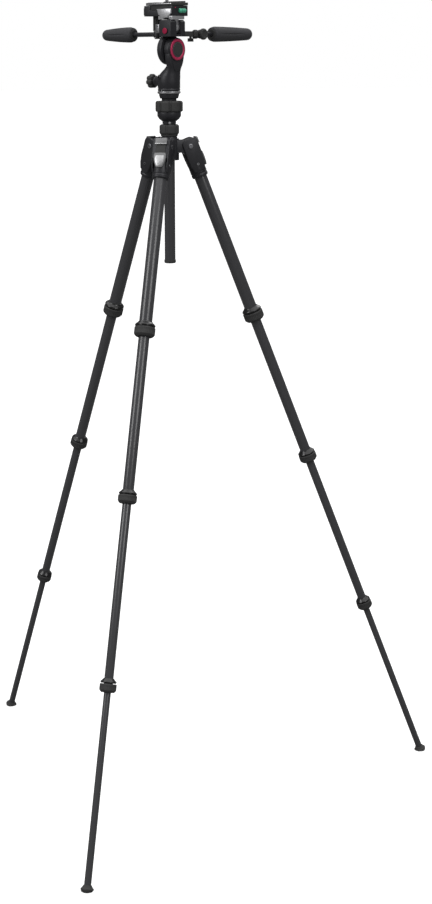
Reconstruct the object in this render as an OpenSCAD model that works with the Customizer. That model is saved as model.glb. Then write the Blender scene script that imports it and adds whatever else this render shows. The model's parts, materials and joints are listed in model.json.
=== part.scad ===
// Travel tripod with a levelling column and a three-way pan and tilt head.
// Millimetres, +Z up. The origin is on the floor, on the column's axis.
// The front leg points to -Y, and the head is panned away from it by head_pan.

/* [Legs] */
// Angle between a standing leg and the vertical
leg_angle = 21.2; // [18:0.1:25]
// Distance of a leg's pivot from the column's axis
pivot_r = 35; // [33:0.5:42]
// Pivot to the middle of the first lock
section_1 = 323.9; // [240:0.1:400]
// First lock to second lock, middle to middle
section_2 = 285.7; // [230:0.1:350]
// Second lock to third lock, middle to middle
section_3 = 308.7; // [240:0.1:380]
// Third lock to the floor
section_4 = 320.9; // [250:0.1:390]
// Outside diameter of the upper leg tube
tube_d = 22.4; // [20:0.1:24]
// Step in diameter from one tube to the next
tube_step = 3.6; // [3.4:0.1:4]
// Wall of the leg tubes
tube_wall = 1.2; // [1:0.1:1.4]
// Length of a tube that stays inside the one above
tube_overlap = 45; // [35:1:60]
// Length of the guide sleeve at a tube's hidden end
guide_len = 28; // [20:1:34]

/* [Leg castings] */
// Pivot to the lower end of a casting's socket
casting_len = 57.8; // [50:0.1:70]
// Radial thickness of a casting's socket around its tube
casting_wall = 3.3; // [2.5:0.1:4]
// Radius of a casting's hinge knuckle
knuckle_r = 13; // [12:0.5:14]
// Width of a casting's hinge knuckle
knuckle_w = 15; // [12:0.5:16]
// Radius of a leg pivot bolt
bolt_r = 3; // [2.5:0.1:4]
// Width of an angle catch
catch_w = 14; // [10:0.5:15]
// Length of an angle catch
catch_len = 24; // [18:0.5:26]

/* [Twist locks] */
// Outside diameter of the first lock
lock_d = 36; // [32:0.5:38]
// Step in diameter from one lock to the next
lock_step = 4; // [3:0.5:4.5]
// Length of the first lock
lock_len_first = 26; // [22:0.5:30]
// Length of the other locks
lock_len_other = 23; // [20:0.5:28]
// Share of a lock taken by its fixed ring
lock_split = 0.35; // [0.3:0.01:0.4]
// Gap between a fixed ring and its turning collar
lock_gap = 0.8; // [0.5:0.1:1.5]
// Radius of a rubber foot
foot_r = 9.8; // [9:0.1:12]
// Length of a rubber foot along its leg
foot_len = 18; // [14:0.5:22]

/* [Spider and column] */
// Radius of the spider's hub
hub_r = 17; // [16:0.5:18]
// Height of the spider's top above the leg pivots
hub_top = 13.6; // [12:0.1:16]
// Depth of the spider's hub below the leg pivots
hub_depth = 24; // [20:0.5:30]
// Thickness of a yoke ear
ear_w = 5; // [4:0.5:6]
// Radius of a yoke ear around the pivot
ear_r = 11; // [9:0.5:11.5]
// Outside diameter of the column
column_d = 19; // [17:0.1:20]
// Wall of the column
column_wall = 1.5; // [1:0.1:2.5]
// Length of the column that hangs below the leg pivots
column_drop = 206; // [150:1:260]
// Wall of the column's guide bush
bush_wall = 2.9; // [2:0.1:3.2]
// Outside diameter of the column's lock collar
collar_d = 34.5; // [32:0.5:40]
// Height of the column's lock collar
collar_h = 21; // [16:0.5:26]

/* [Levelling joint] */
// Radius of the levelling ball
ball_r = 16.5; // [15.5:0.1:17]
// Thickness of the saddle between ball and bowl
saddle_t = 1.9; // [1.5:0.1:2.5]
// Rim radius of the bowl
bowl_r = 20.8; // [20.8:0.1:23]
// Height of the bowl with its neck
bowl_h = 20.9; // [20.5:0.1:24]
// Outside radius of the ribbed clamp ring
ring_r = 24; // [23:0.5:28]
// Height of the ribbed clamp ring
ring_h = 19; // [17:0.5:22]
// Number of grooves round the clamp ring
ring_grooves = 8; // [6:1:12]
// Radius of the neck above the levelling ball
neck_r = 13; // [11:0.5:13]
// Radius of the plate on top of the levelling joint
plate_r = 18; // [16:0.5:19]

/* [Head] */
// Angle of the head about the column, seen from above
head_pan = -25.5; // [-180:0.5:180]
// Radius of the pan scale
scale_r = 20.25; // [19:0.25:22]
// Height of the pan scale
scale_h = 4.2; // [3:0.1:6]
// Radius of the head's base
base_r = 19.5; // [18:0.5:21]
// Height of the round part of the base
base_h = 32; // [30:0.5:40]
// Height of the tilt axis above the foot of the base
tilt_up = 71.5; // [66:0.5:85]
// Radius of the base arm round the tilt axis
arm_r = 21; // [18:0.5:21.5]
// Thickness of the base arm
arm_w = 14; // [12:0.5:16]
// Offset of the base arm's inner face from the pan axis
arm_x = 6; // [4:0.5:7]
// Radius of the tilt drum
drum_r = 26; // [22:0.5:28]
// Thickness of the tilt drum
drum_w = 9.5; // [7:0.5:10]
// Radius of the tilt shaft
shaft_r = 6; // [4:0.5:8]
// Outer radius of the red ring
ring_cap_r = 18.5; // [16:0.5:19]
// Width of the red ring
ring_cap_w = 5.2; // [3:0.1:6]
// Height of the roll axis above the tilt axis
roll_up = 37.5; // [36:0.5:45]
// Radius of the roll pin
roll_pin_r = 4; // [3:0.5:5]
// Width of the upper block
block_w = 27; // [24:0.5:30]
// Depth of the upper block
block_d = 37; // [34:0.5:44]
// Radius of the pan knob
pan_knob_r = 12.5; // [10:0.5:14]

/* [Camera plate] */
// Width of the clamp from side to side
clamp_w = 65; // [60:0.5:80]
// Depth of the clamp from front to back
clamp_d = 41.4; // [38:0.1:50]
// Height of the clamp
clamp_h = 18; // [16:0.5:22]
// Width of the camera plate
plate_w = 61; // [56:0.5:70]
// Depth of the camera plate
plate_d = 42; // [38:0.5:52]
// Thickness of the camera plate's top
plate_t = 4.6; // [3.5:0.1:7]
// Radius of the camera screw's thread
screw_r = 3.175; // [3.175:0.001:4.763]
// Height of the camera screw above the plate
screw_up = 5; // [4:0.1:6]

/* [Handles] */
// Height of both handles above the tilt axis
handle_up = 26.5; // [26:0.5:30]
// Radius of a handle's rod
rod_r = 4; // [3:0.5:5]
// Distance of the rear handle's pivot behind the tilt axis
rear_pivot = 66; // [60:0.5:80]
// Length of the rear grip
rear_grip_len = 108; // [80:1:130]
// Length of the side grip
side_grip_len = 75; // [60:1:100]
// Largest radius of a grip
grip_r = 13.5; // [11:0.5:14]
// Radius of a grip near its end
grip_end_r = 9.5; // [7:0.5:11]
// Radius of the round knob on the rear pivot
rear_knob_r = 10; // [8:0.5:12]

/* [Hidden] */
$fn = 48;

run = 0.05;        // radial clearance of a running fit
gap = 0.3;         // clearance between faces that only pass each other
eps = 0.01;        // overshoot of a cut

plastic = [0.09, 0.09, 0.095];
carbon = [0.13, 0.13, 0.135];
rubber = [0.05, 0.05, 0.05];
silver = [0.72, 0.72, 0.74];
grey = [0.42, 0.42, 0.43];
crimson = [0.72, 0.07, 0.2];
green = [0.1, 0.55, 0.35];

// Leg, measured down the leg from its pivot
lock_at = [section_1, section_1 + section_2, section_1 + section_2 + section_3];
leg_len = lock_at[2] + section_4;
pivot_z = leg_len * cos(leg_angle);
function tube_r(n) = (tube_d - (n - 1) * tube_step) / 2;
function lock_r(n) = (lock_d - (n - 1) * lock_step) / 2;
function lock_len(n) = n == 1 ? lock_len_first : lock_len_other;
function lock_top(n) = lock_at[n - 1] - lock_len(n) / 2;
function lock_end(n) = lock_at[n - 1] + lock_len(n) / 2;
function ring_end(n) = lock_top(n) + lock_len(n) * lock_split;
function tube_end(n) = n == 4 ? leg_len - foot_len / 2 : lock_end(n) - 8;
tube_1_top = 20;
function tube_top(n) = n == 1 ? tube_1_top : lock_at[n - 2] - tube_overlap;
casting_r = tube_r(1) + casting_wall;
casting_top = 16;

// Column and spider
hub_z = pivot_z + hub_top;
spider_neck_r = 14;
spider_neck_h = 3.5;
column_r = column_d / 2;
column_z0 = pivot_z - column_drop;
cap_h = 6;
cap_over = 0.8;
bush_r = column_r + run + bush_wall;
bush_z0 = pivot_z - hub_depth;
collar_z0 = hub_z + 4;
bowl_z0 = collar_z0 + collar_h + 0.6;
socket_depth = 5.5;
bowl_neck_r = 12;
column_z1 = bowl_z0 + socket_depth;

// Levelling joint
bowl_in = ball_r + saddle_t + 2 * gap;
ball_z = bowl_z0 + 27.4;
ring_z0 = bowl_z0 + bowl_h + gap;
ring_z1 = ring_z0 + ring_h;
ring_lip_r = neck_r + 2.8;
level_z = ring_z1 + 12.4;
stud_r = 4.76;

// Head, in its own frame: +X along the tilt axis, -Y the way the lens points
scale_z0 = level_z;
base_z0 = scale_z0 + scale_h + 0.5;
tilt_z = base_z0 + tilt_up;
arm_x1 = arm_x + arm_w;
drum_x1 = arm_x - 0.5;
drum_x0 = drum_x1 - drum_w;
roll_z = tilt_z + roll_up;
block_x0 = drum_x0 + 3.5;
roll_x = block_x0 + block_w / 2;
block_y0 = -24;
block_y1 = block_y0 + block_d;
block_z0 = tilt_z + arm_r + 1.5;
block_top_r = block_w / 2 + 3.1;
block_up = block_w / 2;
slot_y0 = -8.9;
slot_y1 = 1.9;
slot_z0 = block_z0 + 3.4;
cradle_r = block_top_r + 0.5;
clamp_z0 = roll_z + 20;
clamp_z1 = clamp_z0 + clamp_h;
clamp_x1 = roll_x + 13;
clamp_x0 = clamp_x1 - clamp_w;
clamp_y0 = -20.4;
plate_mid = clamp_x1 - 29.5;
tail_w = 44;
tail_slope = 2.2;
tail_h = 7.6;
plate_z0 = clamp_z1 + 0.4;
plate_z1 = plate_z0 + plate_t;
handle_z = tilt_z + handle_up;
rear_x = arm_x + 4;
post_x = roll_x - 39;
post_r = 7.8;
knob_z = base_z0 + 17;
vial_r = 4;

// Puts a leg's own frame in place: its pivot at the origin, down the leg along -Z, outwards -Y
module on_leg(n) {
    rotate([0, 0, (n - 1) * 120])
        translate([0, -pivot_r, pivot_z])
            rotate([-leg_angle, 0, 0])
                children();
}

// A body of revolution about Z from [radius, height] points
module turned(points) {
    rotate_extrude()
        polygon(points);
}

// Puts the head's own frame in place
module on_head() {
    rotate([0, 0, head_pan])
        children();
}

// A cylinder along +X or +Y from a point
module along_x(r, h) {
    rotate([0, 90, 0])
        cylinder(r = r, h = h);
}

module along_y(r, h) {
    rotate([-90, 0, 0])
        cylinder(r = r, h = h);
}

// ---------------------------------------------------------------- legs

// Upper leg tube, with the fixed ring of its lock
module leg_tube(n) {
    r = tube_r(n);
    rr = lock_r(n) - 0.4;
    in = r - tube_wall;
    guide = tube_r(max(n - 1, 1)) - tube_wall - run;
    top = tube_top(n);
    end = tube_end(n);
    head = n == 1 ? [[in, -top], [r, -top]]
                  : [[in, -top], [guide, -top], [guide, -top - guide_len], [r, -top - guide_len]];
    ring = n == 4 ? []
                  : [[r, -lock_top(n)], [rr - 2.5, -lock_top(n)], [rr, -lock_top(n) - 2.5],
                     [rr, -ring_end(n)], [r, -ring_end(n)]];
    color(carbon)
        turned(concat(head, ring, [[r, -end], [in, -end]]));
}

// Turning collar of a twist lock
module leg_lock(n) {
    outer = lock_r(n);
    top = ring_end(n) + lock_gap;
    end = lock_end(n);
    step = tube_end(n) + 0.6;
    color(plastic)
        turned([
            [tube_r(n) + gap, -top], [outer - 0.6, -top], [outer, -top - 0.8],
            [outer, -end + 2.2], [outer - 2.2, -end],
            [tube_r(n + 1) + gap, -end], [tube_r(n + 1) + gap, -step], [tube_r(n) + gap, -step]
        ]);
}

// Rubber foot with a flat where it meets the floor
module leg_foot() {
    hold = tube_r(4) + run;
    top = leg_len - foot_len / 2;
    color(rubber)
        difference() {
            translate([0, 0, -leg_len - 5])
                union() {
                    cylinder(r1 = foot_r - 2.5, r2 = foot_r, h = 3);
                    translate([0, 0, 3])
                        cylinder(r = foot_r, h = 6);
                    translate([0, 0, 9])
                        cylinder(r1 = foot_r, r2 = foot_r - 1.5, h = 2);
                    translate([0, 0, 11])
                        cylinder(r = tube_r(4) + 1.6, h = foot_len - 6);
                }
            translate([0, 0, -top])
                cylinder(r = hold, h = foot_len);
            rotate([leg_angle, 0, 0])
                translate([-25, -leg_len * sin(leg_angle) - 25, -pivot_z - 20])
                    cube([50, 50, 20]);
        }
}

// Hinged casting that holds the upper tube
module leg_casting() {
    color(plastic)
        difference() {
            union() {
                translate([-knuckle_w / 2, 0, 0])
                    along_x(knuckle_r, knuckle_w);
                translate([-knuckle_w / 2, -knuckle_r, -casting_top - 4])
                    cube([knuckle_w, 2 * knuckle_r, casting_top + 4]);
                translate([0, 0, -casting_len + 3])
                    cylinder(r = casting_r, h = casting_len - casting_top - 3);
                translate([0, 0, -casting_len])
                    cylinder(r1 = casting_r - 1.5, r2 = casting_r, h = 3);
            }
            translate([0, 0, -casting_len - eps])
                cylinder(r = tube_r(1) + run, h = casting_len - tube_1_top + eps);
            translate([0, 0, -tube_1_top - eps])
                cylinder(r = tube_r(1) - tube_wall, h = tube_1_top - casting_top + 1);
            translate([-knuckle_w / 2 - 1, 0, 0])
                along_x(bolt_r + run, knuckle_w + 2);
            translate([-3 - gap, -knuckle_r - 10, -14 - gap])
                cube([6 + 2 * gap, 15, 8 + 2 * gap]);
        }
}

// Pull-out catch that sets the leg's angle
module leg_catch() {
    color(silver)
        difference() {
            union() {
                translate([-catch_w / 2, -knuckle_r - 5.3, -catch_len + 8])
                    cube([catch_w, 4.6, catch_len - 4]);
                translate([-3, -knuckle_r - 1, -14])
                    cube([6, 5, 8]);
                translate([-catch_w / 2, -knuckle_r - 3.2, 4 - eps])
                    cube([catch_w, 2.5, 3]);
            }
            translate([-catch_w / 2 + 2, -knuckle_r - 6, -4])
                cube([catch_w - 4, 1.6, 2.5]);
        }
}

// ---------------------------------------------------------------- spider and column

module spider() {
    side = knuckle_w / 2 + gap;
    color(plastic)
        difference() {
            union() {
                translate([0, 0, bush_z0])
                    cylinder(r = hub_r, h = hub_z - bush_z0);
                translate([0, 0, hub_z - eps])
                    cylinder(r = spider_neck_r, h = spider_neck_h + eps);
                for (n = [0 : 2], s = [-1, 1])
                    rotate([0, 0, n * 120])
                        translate([s * (side + ear_w / 2), 0, pivot_z]) {
                            translate([-ear_w / 2, -pivot_r, 0])
                                along_x(ear_r, ear_w);
                            translate([-ear_w / 2, -pivot_r, -ear_r])
                                cube([ear_w, pivot_r - 8, 2 * ear_r]);
                        }
            }
            translate([0, 0, bush_z0 - 1])
                cylinder(r = bush_r, h = hub_z - bush_z0 + spider_neck_h + 2);
            for (n = [0 : 2])
                rotate([0, 0, n * 120])
                    translate([-side - ear_w - 1, -pivot_r, pivot_z])
                        along_x(bolt_r, 2 * (side + ear_w + 1));
        }
}

module pivot_bolts() {
    half = knuckle_w / 2 + gap + ear_w;
    color(silver)
        for (n = [0 : 2])
            rotate([0, 0, n * 120])
                translate([0, -pivot_r, pivot_z]) {
                    translate([-half - 2, 0, 0])
                        along_x(bolt_r, 2 * half + 4);
                    translate([-half - 2.5, 0, 0])
                        along_x(5.2, 2.5);
                    translate([half, 0, 0])
                        along_x(5.2, 2.5);
                }
}

module column_bush() {
    in = column_r + run;
    color(plastic)
        translate([0, 0, bush_z0])
            turned([[in, 0], [bush_r, 0], [bush_r, hub_z - bush_z0 - 1], [in, hub_z - bush_z0 - 1]]);
}

module column_tube() {
    color(carbon)
        translate([0, 0, column_z0 + cap_h])
            difference() {
                cylinder(r = column_r, h = column_z1 - column_z0 - cap_h);
                translate([0, 0, -1])
                    cylinder(r = column_r - column_wall, h = column_z1 - column_z0);
            }
}

module column_cap() {
    color(plastic)
        translate([0, 0, column_z0])
            turned([
                [0, 0], [column_r - 0.5, 0], [column_r + cap_over, 1.3], [column_r + cap_over, cap_h],
                [column_r - column_wall - run, cap_h], [column_r - column_wall - run, cap_h + 14], [0, cap_h + 14]
            ]);
}

module column_collar() {
    outer = collar_d / 2;
    in = column_r + 0.4;
    color(plastic)
        translate([0, 0, collar_z0])
            turned([
                [in, 0], [outer - 1.5, 0], [outer, 1.5], [outer, collar_h - 2], [outer - 2, collar_h], [in, collar_h]
            ]);
}

// ---------------------------------------------------------------- levelling joint

module level_bowl() {
    color(plastic)
        difference() {
            translate([0, 0, bowl_z0])
                turned([
                    [0, 0], [bowl_neck_r, 0], [bowl_neck_r, 4.6], [bowl_r - 3, 9], [bowl_r, 14],
                    [bowl_r, bowl_h], [0, bowl_h]
                ]);
            translate([0, 0, ball_z])
                sphere(r = bowl_in);
            translate([0, 0, bowl_z0 - 1])
                cylinder(r = column_r + run, h = socket_depth + 1 + run);
        }
}

module level_ring() {
    color(plastic)
        difference() {
            turned([
                [bowl_in + 0.4, ring_z0], [ring_r - 1, ring_z0], [ring_r, ring_z0 + 1],
                [ring_r, ring_z1 - 1.5], [ring_r - 1.5, ring_z1], [ring_lip_r, ring_z1],
                [ring_lip_r, ring_z1 - 3.2], [bowl_in + 0.4, ring_z1 - 8]
            ]);
            for (i = [0 : ring_grooves - 1])
                rotate([0, 0, (i + 0.5) * 360 / ring_grooves])
                    translate([ring_r + 1.6, 0, ring_z0 - 1])
                        cylinder(r = 3, h = ring_h + 2);
        }
}

module level_saddle() {
    color(grey)
        difference() {
            translate([0, 0, ball_z])
                sphere(r = ball_r + gap + saddle_t);
            translate([0, 0, ball_z])
                sphere(r = ball_r + gap);
            translate([-30, -30, ball_z - 8])
                cube([60, 60, 40]);
        }
}

// Ball with its neck, plate and the stud that the head turns on
module level_ball() {
    color(plastic)
        union() {
            translate([0, 0, ball_z])
                sphere(r = ball_r);
            translate([0, 0, ball_z])
                cylinder(r = neck_r, h = ring_z1 + 4.4 - ball_z);
            translate([0, 0, ring_z1 + 4.2])
                cylinder(r1 = plate_r - 2, r2 = plate_r, h = level_z - ring_z1 - 4.2);
            translate([0, 0, level_z - 1])
                cylinder(r = stud_r - run, h = 15);
        }
}

module pan_scale() {
    color(grey)
        difference() {
            translate([0, 0, scale_z0])
                cylinder(r = scale_r, h = scale_h);
            translate([0, 0, scale_z0 - 1])
                cylinder(r = stud_r, h = scale_h + 2);
        }
}

// ---------------------------------------------------------------- head

// Turning base with its one arm
module head_base() {
    color(plastic)
        on_head()
            difference() {
                union() {
                    translate([0, 0, base_z0])
                        cylinder(r = base_r, h = base_h);
                    translate([0, 0, base_z0 + base_h])
                        cylinder(r1 = base_r, r2 = base_r - 7, h = 7);
                    translate([-33, 0, knob_z])
                        along_x(8, 30);
                    intersection() {
                        translate([arm_x, -arm_r, base_z0 + 8])
                            cube([arm_w, 2 * arm_r, tilt_z - base_z0 - 8]);
                        translate([arm_x, 0, 0])
                            rotate([90, 0, 90])
                                linear_extrude(height = arm_w)
                                    polygon([
                                        [-13, base_z0 + 8], [13, base_z0 + 8], [17, base_z0 + base_h],
                                        [arm_r, tilt_z], [-arm_r, tilt_z], [-17, base_z0 + base_h]
                                    ]);
                    }
                    translate([arm_x, 0, tilt_z])
                        along_x(arm_r, arm_w);
                }
                translate([0, 0, base_z0 - 1])
                    cylinder(r = stud_r, h = 12);
                translate([arm_x - 1, 0, tilt_z])
                    along_x(shaft_r + run, arm_w + 2);
                translate([-40, 0, knob_z])
                    along_x(3 + run, 22);
            }
}

module pan_knob() {
    color(plastic)
        on_head()
            difference() {
                union() {
                    translate([-45, 0, knob_z])
                        along_x(pan_knob_r, 11.5);
                    translate([-34, 0, knob_z])
                        along_x(3, 14);
                }
                for (i = [0 : 6])
                    translate([-46, 0, knob_z])
                        rotate([i * 360 / 7, 0, 0])
                            translate([0, pan_knob_r + 1.6, 0])
                                along_x(3, 14);
            }
}

module tilt_ring() {
    color(crimson)
        on_head()
            translate([arm_x1, 0, tilt_z])
                difference() {
                    along_x(ring_cap_r, 1.8);
                    translate([-1, 0, 0])
                        along_x(ring_cap_r - ring_cap_w, 4);
                }
}

// Tilting body: the drum beside the arm and the slotted block above it
module tilt_body() {
    color(plastic)
        on_head()
            difference() {
                union() {
                    translate([drum_x0, 0, tilt_z])
                        along_x(drum_r, drum_w);
                    translate([block_x0, block_y0, block_z0])
                        cube([block_w, block_d, roll_z - block_z0 + eps]);
                    intersection() {
                        translate([block_x0, block_y0, roll_z])
                            cube([block_w, block_d, block_up]);
                        translate([roll_x, block_y0 - 1, roll_z])
                            along_y(block_top_r, block_d + 2);
                    }
                }
                translate([-40, slot_y0, slot_z0])
                    cube([100, slot_y1 - slot_y0, 60]);
                translate([roll_x, block_y0 + 2, roll_z])
                    along_y(roll_pin_r, block_d);
                translate([drum_x0 + 2, 0, tilt_z])
                    along_x(shaft_r, drum_w);
            }
}

// The tilt shaft with its round head, and the roll pin
module head_shafts() {
    color(grey)
        on_head() {
            translate([drum_x0 + 2, 0, tilt_z])
                along_x(shaft_r, arm_x1 - drum_x0);
            translate([arm_x1 + 0.2, 0, tilt_z])
                along_x(ring_cap_r - ring_cap_w - 0.4, 1.5);
            translate([roll_x, block_y0 + 2, roll_z])
                along_y(roll_pin_r, block_d - 2.5);
        }
}

module side_cover() {
    color(grey)
        on_head()
            translate([block_x0 - 10, block_y0 + 0.5, block_z0 + 6])
                cube([10, slot_y0 - block_y0 - 1.1, 15.2]);
}

// Fork that carries the rear handle, with its small wing screw below
module rear_bracket() {
    mid = rear_pivot - block_y1 - 14;
    color(plastic)
        on_head()
            translate([rear_x, 0, handle_z])
                difference() {
                    union() {
                        translate([-6, block_y1, -4])
                            cube([12, mid, 9]);
                        for (s = [-1, 1])
                            translate([s * 6.6 - 2, 0, 0]) {
                                translate([0, block_y1 + mid - 6, -4])
                                    cube([4, 20, 9]);
                                translate([0, rear_pivot, 0])
                                    along_x(8, 4);
                            }
                        translate([0, block_y1 + mid - 6, -13])
                            cylinder(r = 2.2, h = 10);
                        translate([-6, block_y1 + mid - 7.2, -13])
                            cube([12, 2.4, 6]);
                    }
                    translate([-20, rear_pivot, 0])
                        along_x(3 + run, 40);
                }
}

module rear_knob() {
    color(plastic)
        on_head()
            translate([rear_x, rear_pivot, handle_z]) {
                translate([8.9, 0, 0])
                    along_x(rear_knob_r, 7);
                translate([-8, 0, 0])
                    along_x(3, 17);
            }
}

module rear_rod() {
    color(silver)
        on_head()
            translate([rear_x, rear_pivot, handle_z])
                difference() {
                    union() {
                        translate([-4.3, 0, 0])
                            along_x(7, 8.6);
                        translate([0, 4, 0])
                            along_y(rod_r, 52);
                        translate([0, 10, 0])
                            along_y(rod_r + 2, 8);
                    }
                    translate([-10, 0, 0])
                        along_x(3 + run, 20);
                }
}

// Outline of a grip as a body of revolution about +Z, its near end at the origin
module grip(len, bore) {
    end = grip_end_r;
    difference() {
        turned([
            [0, 0], [grip_r - 4, 0], [grip_r - 1, 4], [grip_r, 10], [grip_r, len * 0.3],
            [end + (grip_r - end) * 0.45, len * 0.72], [end, len - end * 0.8],
            [end * 0.86, len - end * 0.4], [end * 0.5, len - end * 0.1], [0, len]
        ]);
        translate([0, 0, -1])
            cylinder(r = rod_r + run, h = bore + 1);
    }
}

module rear_grip() {
    color(rubber)
        on_head()
            translate([rear_x, rear_pivot + 35, handle_z])
                rotate([-90, 0, 0])
                    grip(rear_grip_len, 24);
}

// ---------------------------------------------------------------- roll platform

// Bright cradle: a tongue on the roll pin, a curved saddle and a front apron
module roll_cradle() {
    color(silver)
        on_head()
            difference() {
                union() {
                    translate([roll_x - 9, slot_y0 + 0.4, roll_z])
                        cube([18, slot_y1 - slot_y0 - 0.8, clamp_z0 - roll_z]);
                    translate([roll_x, slot_y0 + 0.4, roll_z])
                        along_y(10.5, slot_y1 - slot_y0 - 0.8);
                    difference() {
                        translate([roll_x - 19, block_y0 + 4, roll_z + 14.2])
                            cube([32, block_d - 5, clamp_z0 - roll_z - 14.2]);
                        translate([roll_x, block_y0 - 5, roll_z])
                            along_y(cradle_r, block_d + 10);
                    }
                    translate([0, clamp_y0 - gap, 0])
                        rotate([90, 0, 0])
                            linear_extrude(height = 3.2)
                                polygon([
                                    [roll_x - 19, clamp_z0 + 12], [roll_x - 15, clamp_z0 + 2],
                                    [roll_x - 6, roll_z + 17.8], [roll_x + 5, roll_z + 17.8],
                                    [roll_x + 12.8, clamp_z0 + 4], [roll_x + 12.8, clamp_z0 + 12]
                                ]);
                    translate([roll_x - 14, clamp_y0 - gap - 1, clamp_z0 - 2])
                        cube([26, 8, 2]);
                }
                translate([roll_x, block_y0 - 5, roll_z])
                    along_y(roll_pin_r + run, block_d + 10);
            }
}

module clamp() {
    color(plastic)
        on_head()
            difference() {
                translate([clamp_x0, clamp_y0, clamp_z0])
                    cube([clamp_w, clamp_d, clamp_h]);
                translate([plate_mid, clamp_y0 - 1, clamp_z1 - tail_h - gap])
                    tail(tail_w / 2 + 0.5, clamp_d + 2, tail_h + gap + eps);
                translate([clamp_x1, -2.5, clamp_z0 + 9])
                    along_y(vial_r, 17);
            }
}

// Dovetail bar along +Y, widest at the bottom; half is half of that width
module tail(half, len, h) {
    rotate([90, 0, 0])
        translate([0, 0, -len])
            linear_extrude(height = len)
                polygon([[-half, 0], [half, 0], [half - tail_slope, h], [-half + tail_slope, h]]);
}

module clamp_lever() {
    color(plastic)
        on_head()
            translate([clamp_x0 - 5.4, clamp_y0 + 1, clamp_z0 + 2])
                union() {
                    translate([0, 5, 0])
                        cube([5, clamp_d - 12, 13]);
                    translate([2.5, 5, 0])
                        cylinder(r = 2.5, h = 13);
                }
}

module bubble_level() {
    color(green)
        on_head()
            translate([clamp_x1, -2.5, clamp_z0 + 9])
                along_y(vial_r, 17);
}

// Ribbed post under the clamp, with the pin that the side handle folds on
module side_post() {
    color(plastic)
        on_head()
            translate([post_x, 0, handle_z])
                union() {
                    difference() {
                        translate([0, 0, 6])
                            cylinder(r = post_r, h = clamp_z0 - handle_z - 6);
                        for (i = [0 : 11])
                            rotate([0, 0, i * 30])
                                translate([post_r + 0.3, 0, 5])
                                    cylinder(r = 1.1, h = clamp_z0 - handle_z - 8);
                    }
                    translate([0, 0, -8])
                        cylinder(r = 3, h = 15);
                    translate([0, 0, -8])
                        cylinder(r = 5.5, h = 2.2);
                }
}

module side_rod() {
    color(silver)
        on_head()
            translate([post_x, 0, handle_z])
                difference() {
                    union() {
                        translate([0, 0, -5.5])
                            cylinder(r = 7, h = 11.2);
                        translate([-70, 0, 0])
                            along_x(rod_r, 66);
                    }
                    translate([0, 0, -10])
                        cylinder(r = 3 + run, h = 20);
                }
}

module side_grip() {
    color(rubber)
        on_head()
            translate([post_x - 56, 0, handle_z])
                rotate([0, -90, 0])
                    grip(side_grip_len, 16);
}

// Sliding camera plate with a dovetail foot and a raised front lip
module camera_plate() {
    color(plastic)
        on_head()
            difference() {
                union() {
                    translate([plate_mid - plate_w / 2, -plate_d / 2, plate_z0])
                        cube([plate_w, plate_d, plate_t]);
                    translate([plate_mid, clamp_y0 + 1, clamp_z1 - tail_h])
                        tail(tail_w / 2, clamp_d - 2, plate_z0 - clamp_z1 + tail_h + eps);
                    translate([plate_mid - plate_w / 2 + 6, plate_d / 2 - 2.5, plate_z1 - eps])
                        cube([plate_w - 12, 2.5, 3]);
                }
                translate([plate_mid, 0, clamp_z1 - tail_h - 1])
                    cylinder(r = 8.4, h = 5);
                translate([plate_mid, 0, clamp_z1 - tail_h])
                    cylinder(r = screw_r + 0.07, h = 30);
            }
}

module camera_screw() {
    color(silver)
        on_head()
            translate([plate_mid, 0, clamp_z1 - tail_h]) {
                translate([0, 0, 0.4])
                    cylinder(r = 8, h = 3.2);
                translate([0, 0, 1])
                    cylinder(r = screw_r - 0.3, h = plate_z1 - clamp_z1 + tail_h);
                translate([0, 0, plate_z1 - clamp_z1 + tail_h])
                    cylinder(r = screw_r, h = screw_up);
            }
}

spider();
pivot_bolts();
column_bush();
column_tube();
column_cap();
column_collar();
on_leg(1) leg_casting();  // leg_1_casting
on_leg(1) leg_catch();  // leg_1_catch
on_leg(1) leg_tube(1);  // leg_1_tube_1
on_leg(1) leg_tube(2);  // leg_1_tube_2
on_leg(1) leg_tube(3);  // leg_1_tube_3
on_leg(1) leg_tube(4);  // leg_1_tube_4
on_leg(1) leg_lock(1);  // leg_1_lock_1
on_leg(1) leg_lock(2);  // leg_1_lock_2
on_leg(1) leg_lock(3);  // leg_1_lock_3
on_leg(1) leg_foot();  // leg_1_foot
on_leg(2) leg_casting();  // leg_2_casting
on_leg(2) leg_catch();  // leg_2_catch
on_leg(2) leg_tube(1);  // leg_2_tube_1
on_leg(2) leg_tube(2);  // leg_2_tube_2
on_leg(2) leg_tube(3);  // leg_2_tube_3
on_leg(2) leg_tube(4);  // leg_2_tube_4
on_leg(2) leg_lock(1);  // leg_2_lock_1
on_leg(2) leg_lock(2);  // leg_2_lock_2
on_leg(2) leg_lock(3);  // leg_2_lock_3
on_leg(2) leg_foot();  // leg_2_foot
on_leg(3) leg_casting();  // leg_3_casting
on_leg(3) leg_catch();  // leg_3_catch
on_leg(3) leg_tube(1);  // leg_3_tube_1
on_leg(3) leg_tube(2);  // leg_3_tube_2
on_leg(3) leg_tube(3);  // leg_3_tube_3
on_leg(3) leg_tube(4);  // leg_3_tube_4
on_leg(3) leg_lock(1);  // leg_3_lock_1
on_leg(3) leg_lock(2);  // leg_3_lock_2
on_leg(3) leg_lock(3);  // leg_3_lock_3
on_leg(3) leg_foot();  // leg_3_foot
level_bowl();
level_ring();
level_saddle();
level_ball();
pan_scale();
head_base();
pan_knob();
tilt_ring();
tilt_body();
head_shafts();
side_cover();
rear_bracket();
rear_knob();
rear_rod();
rear_grip();
roll_cradle();
clamp();
clamp_lever();
bubble_level();
side_post();
side_rod();
side_grip();
camera_plate();
camera_screw();
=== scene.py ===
"""Looks of a travel tripod with a levelling column and a three-way head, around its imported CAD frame."""

import json
import math

import bmesh
import bpy
from mathutils import Matrix, Vector


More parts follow.
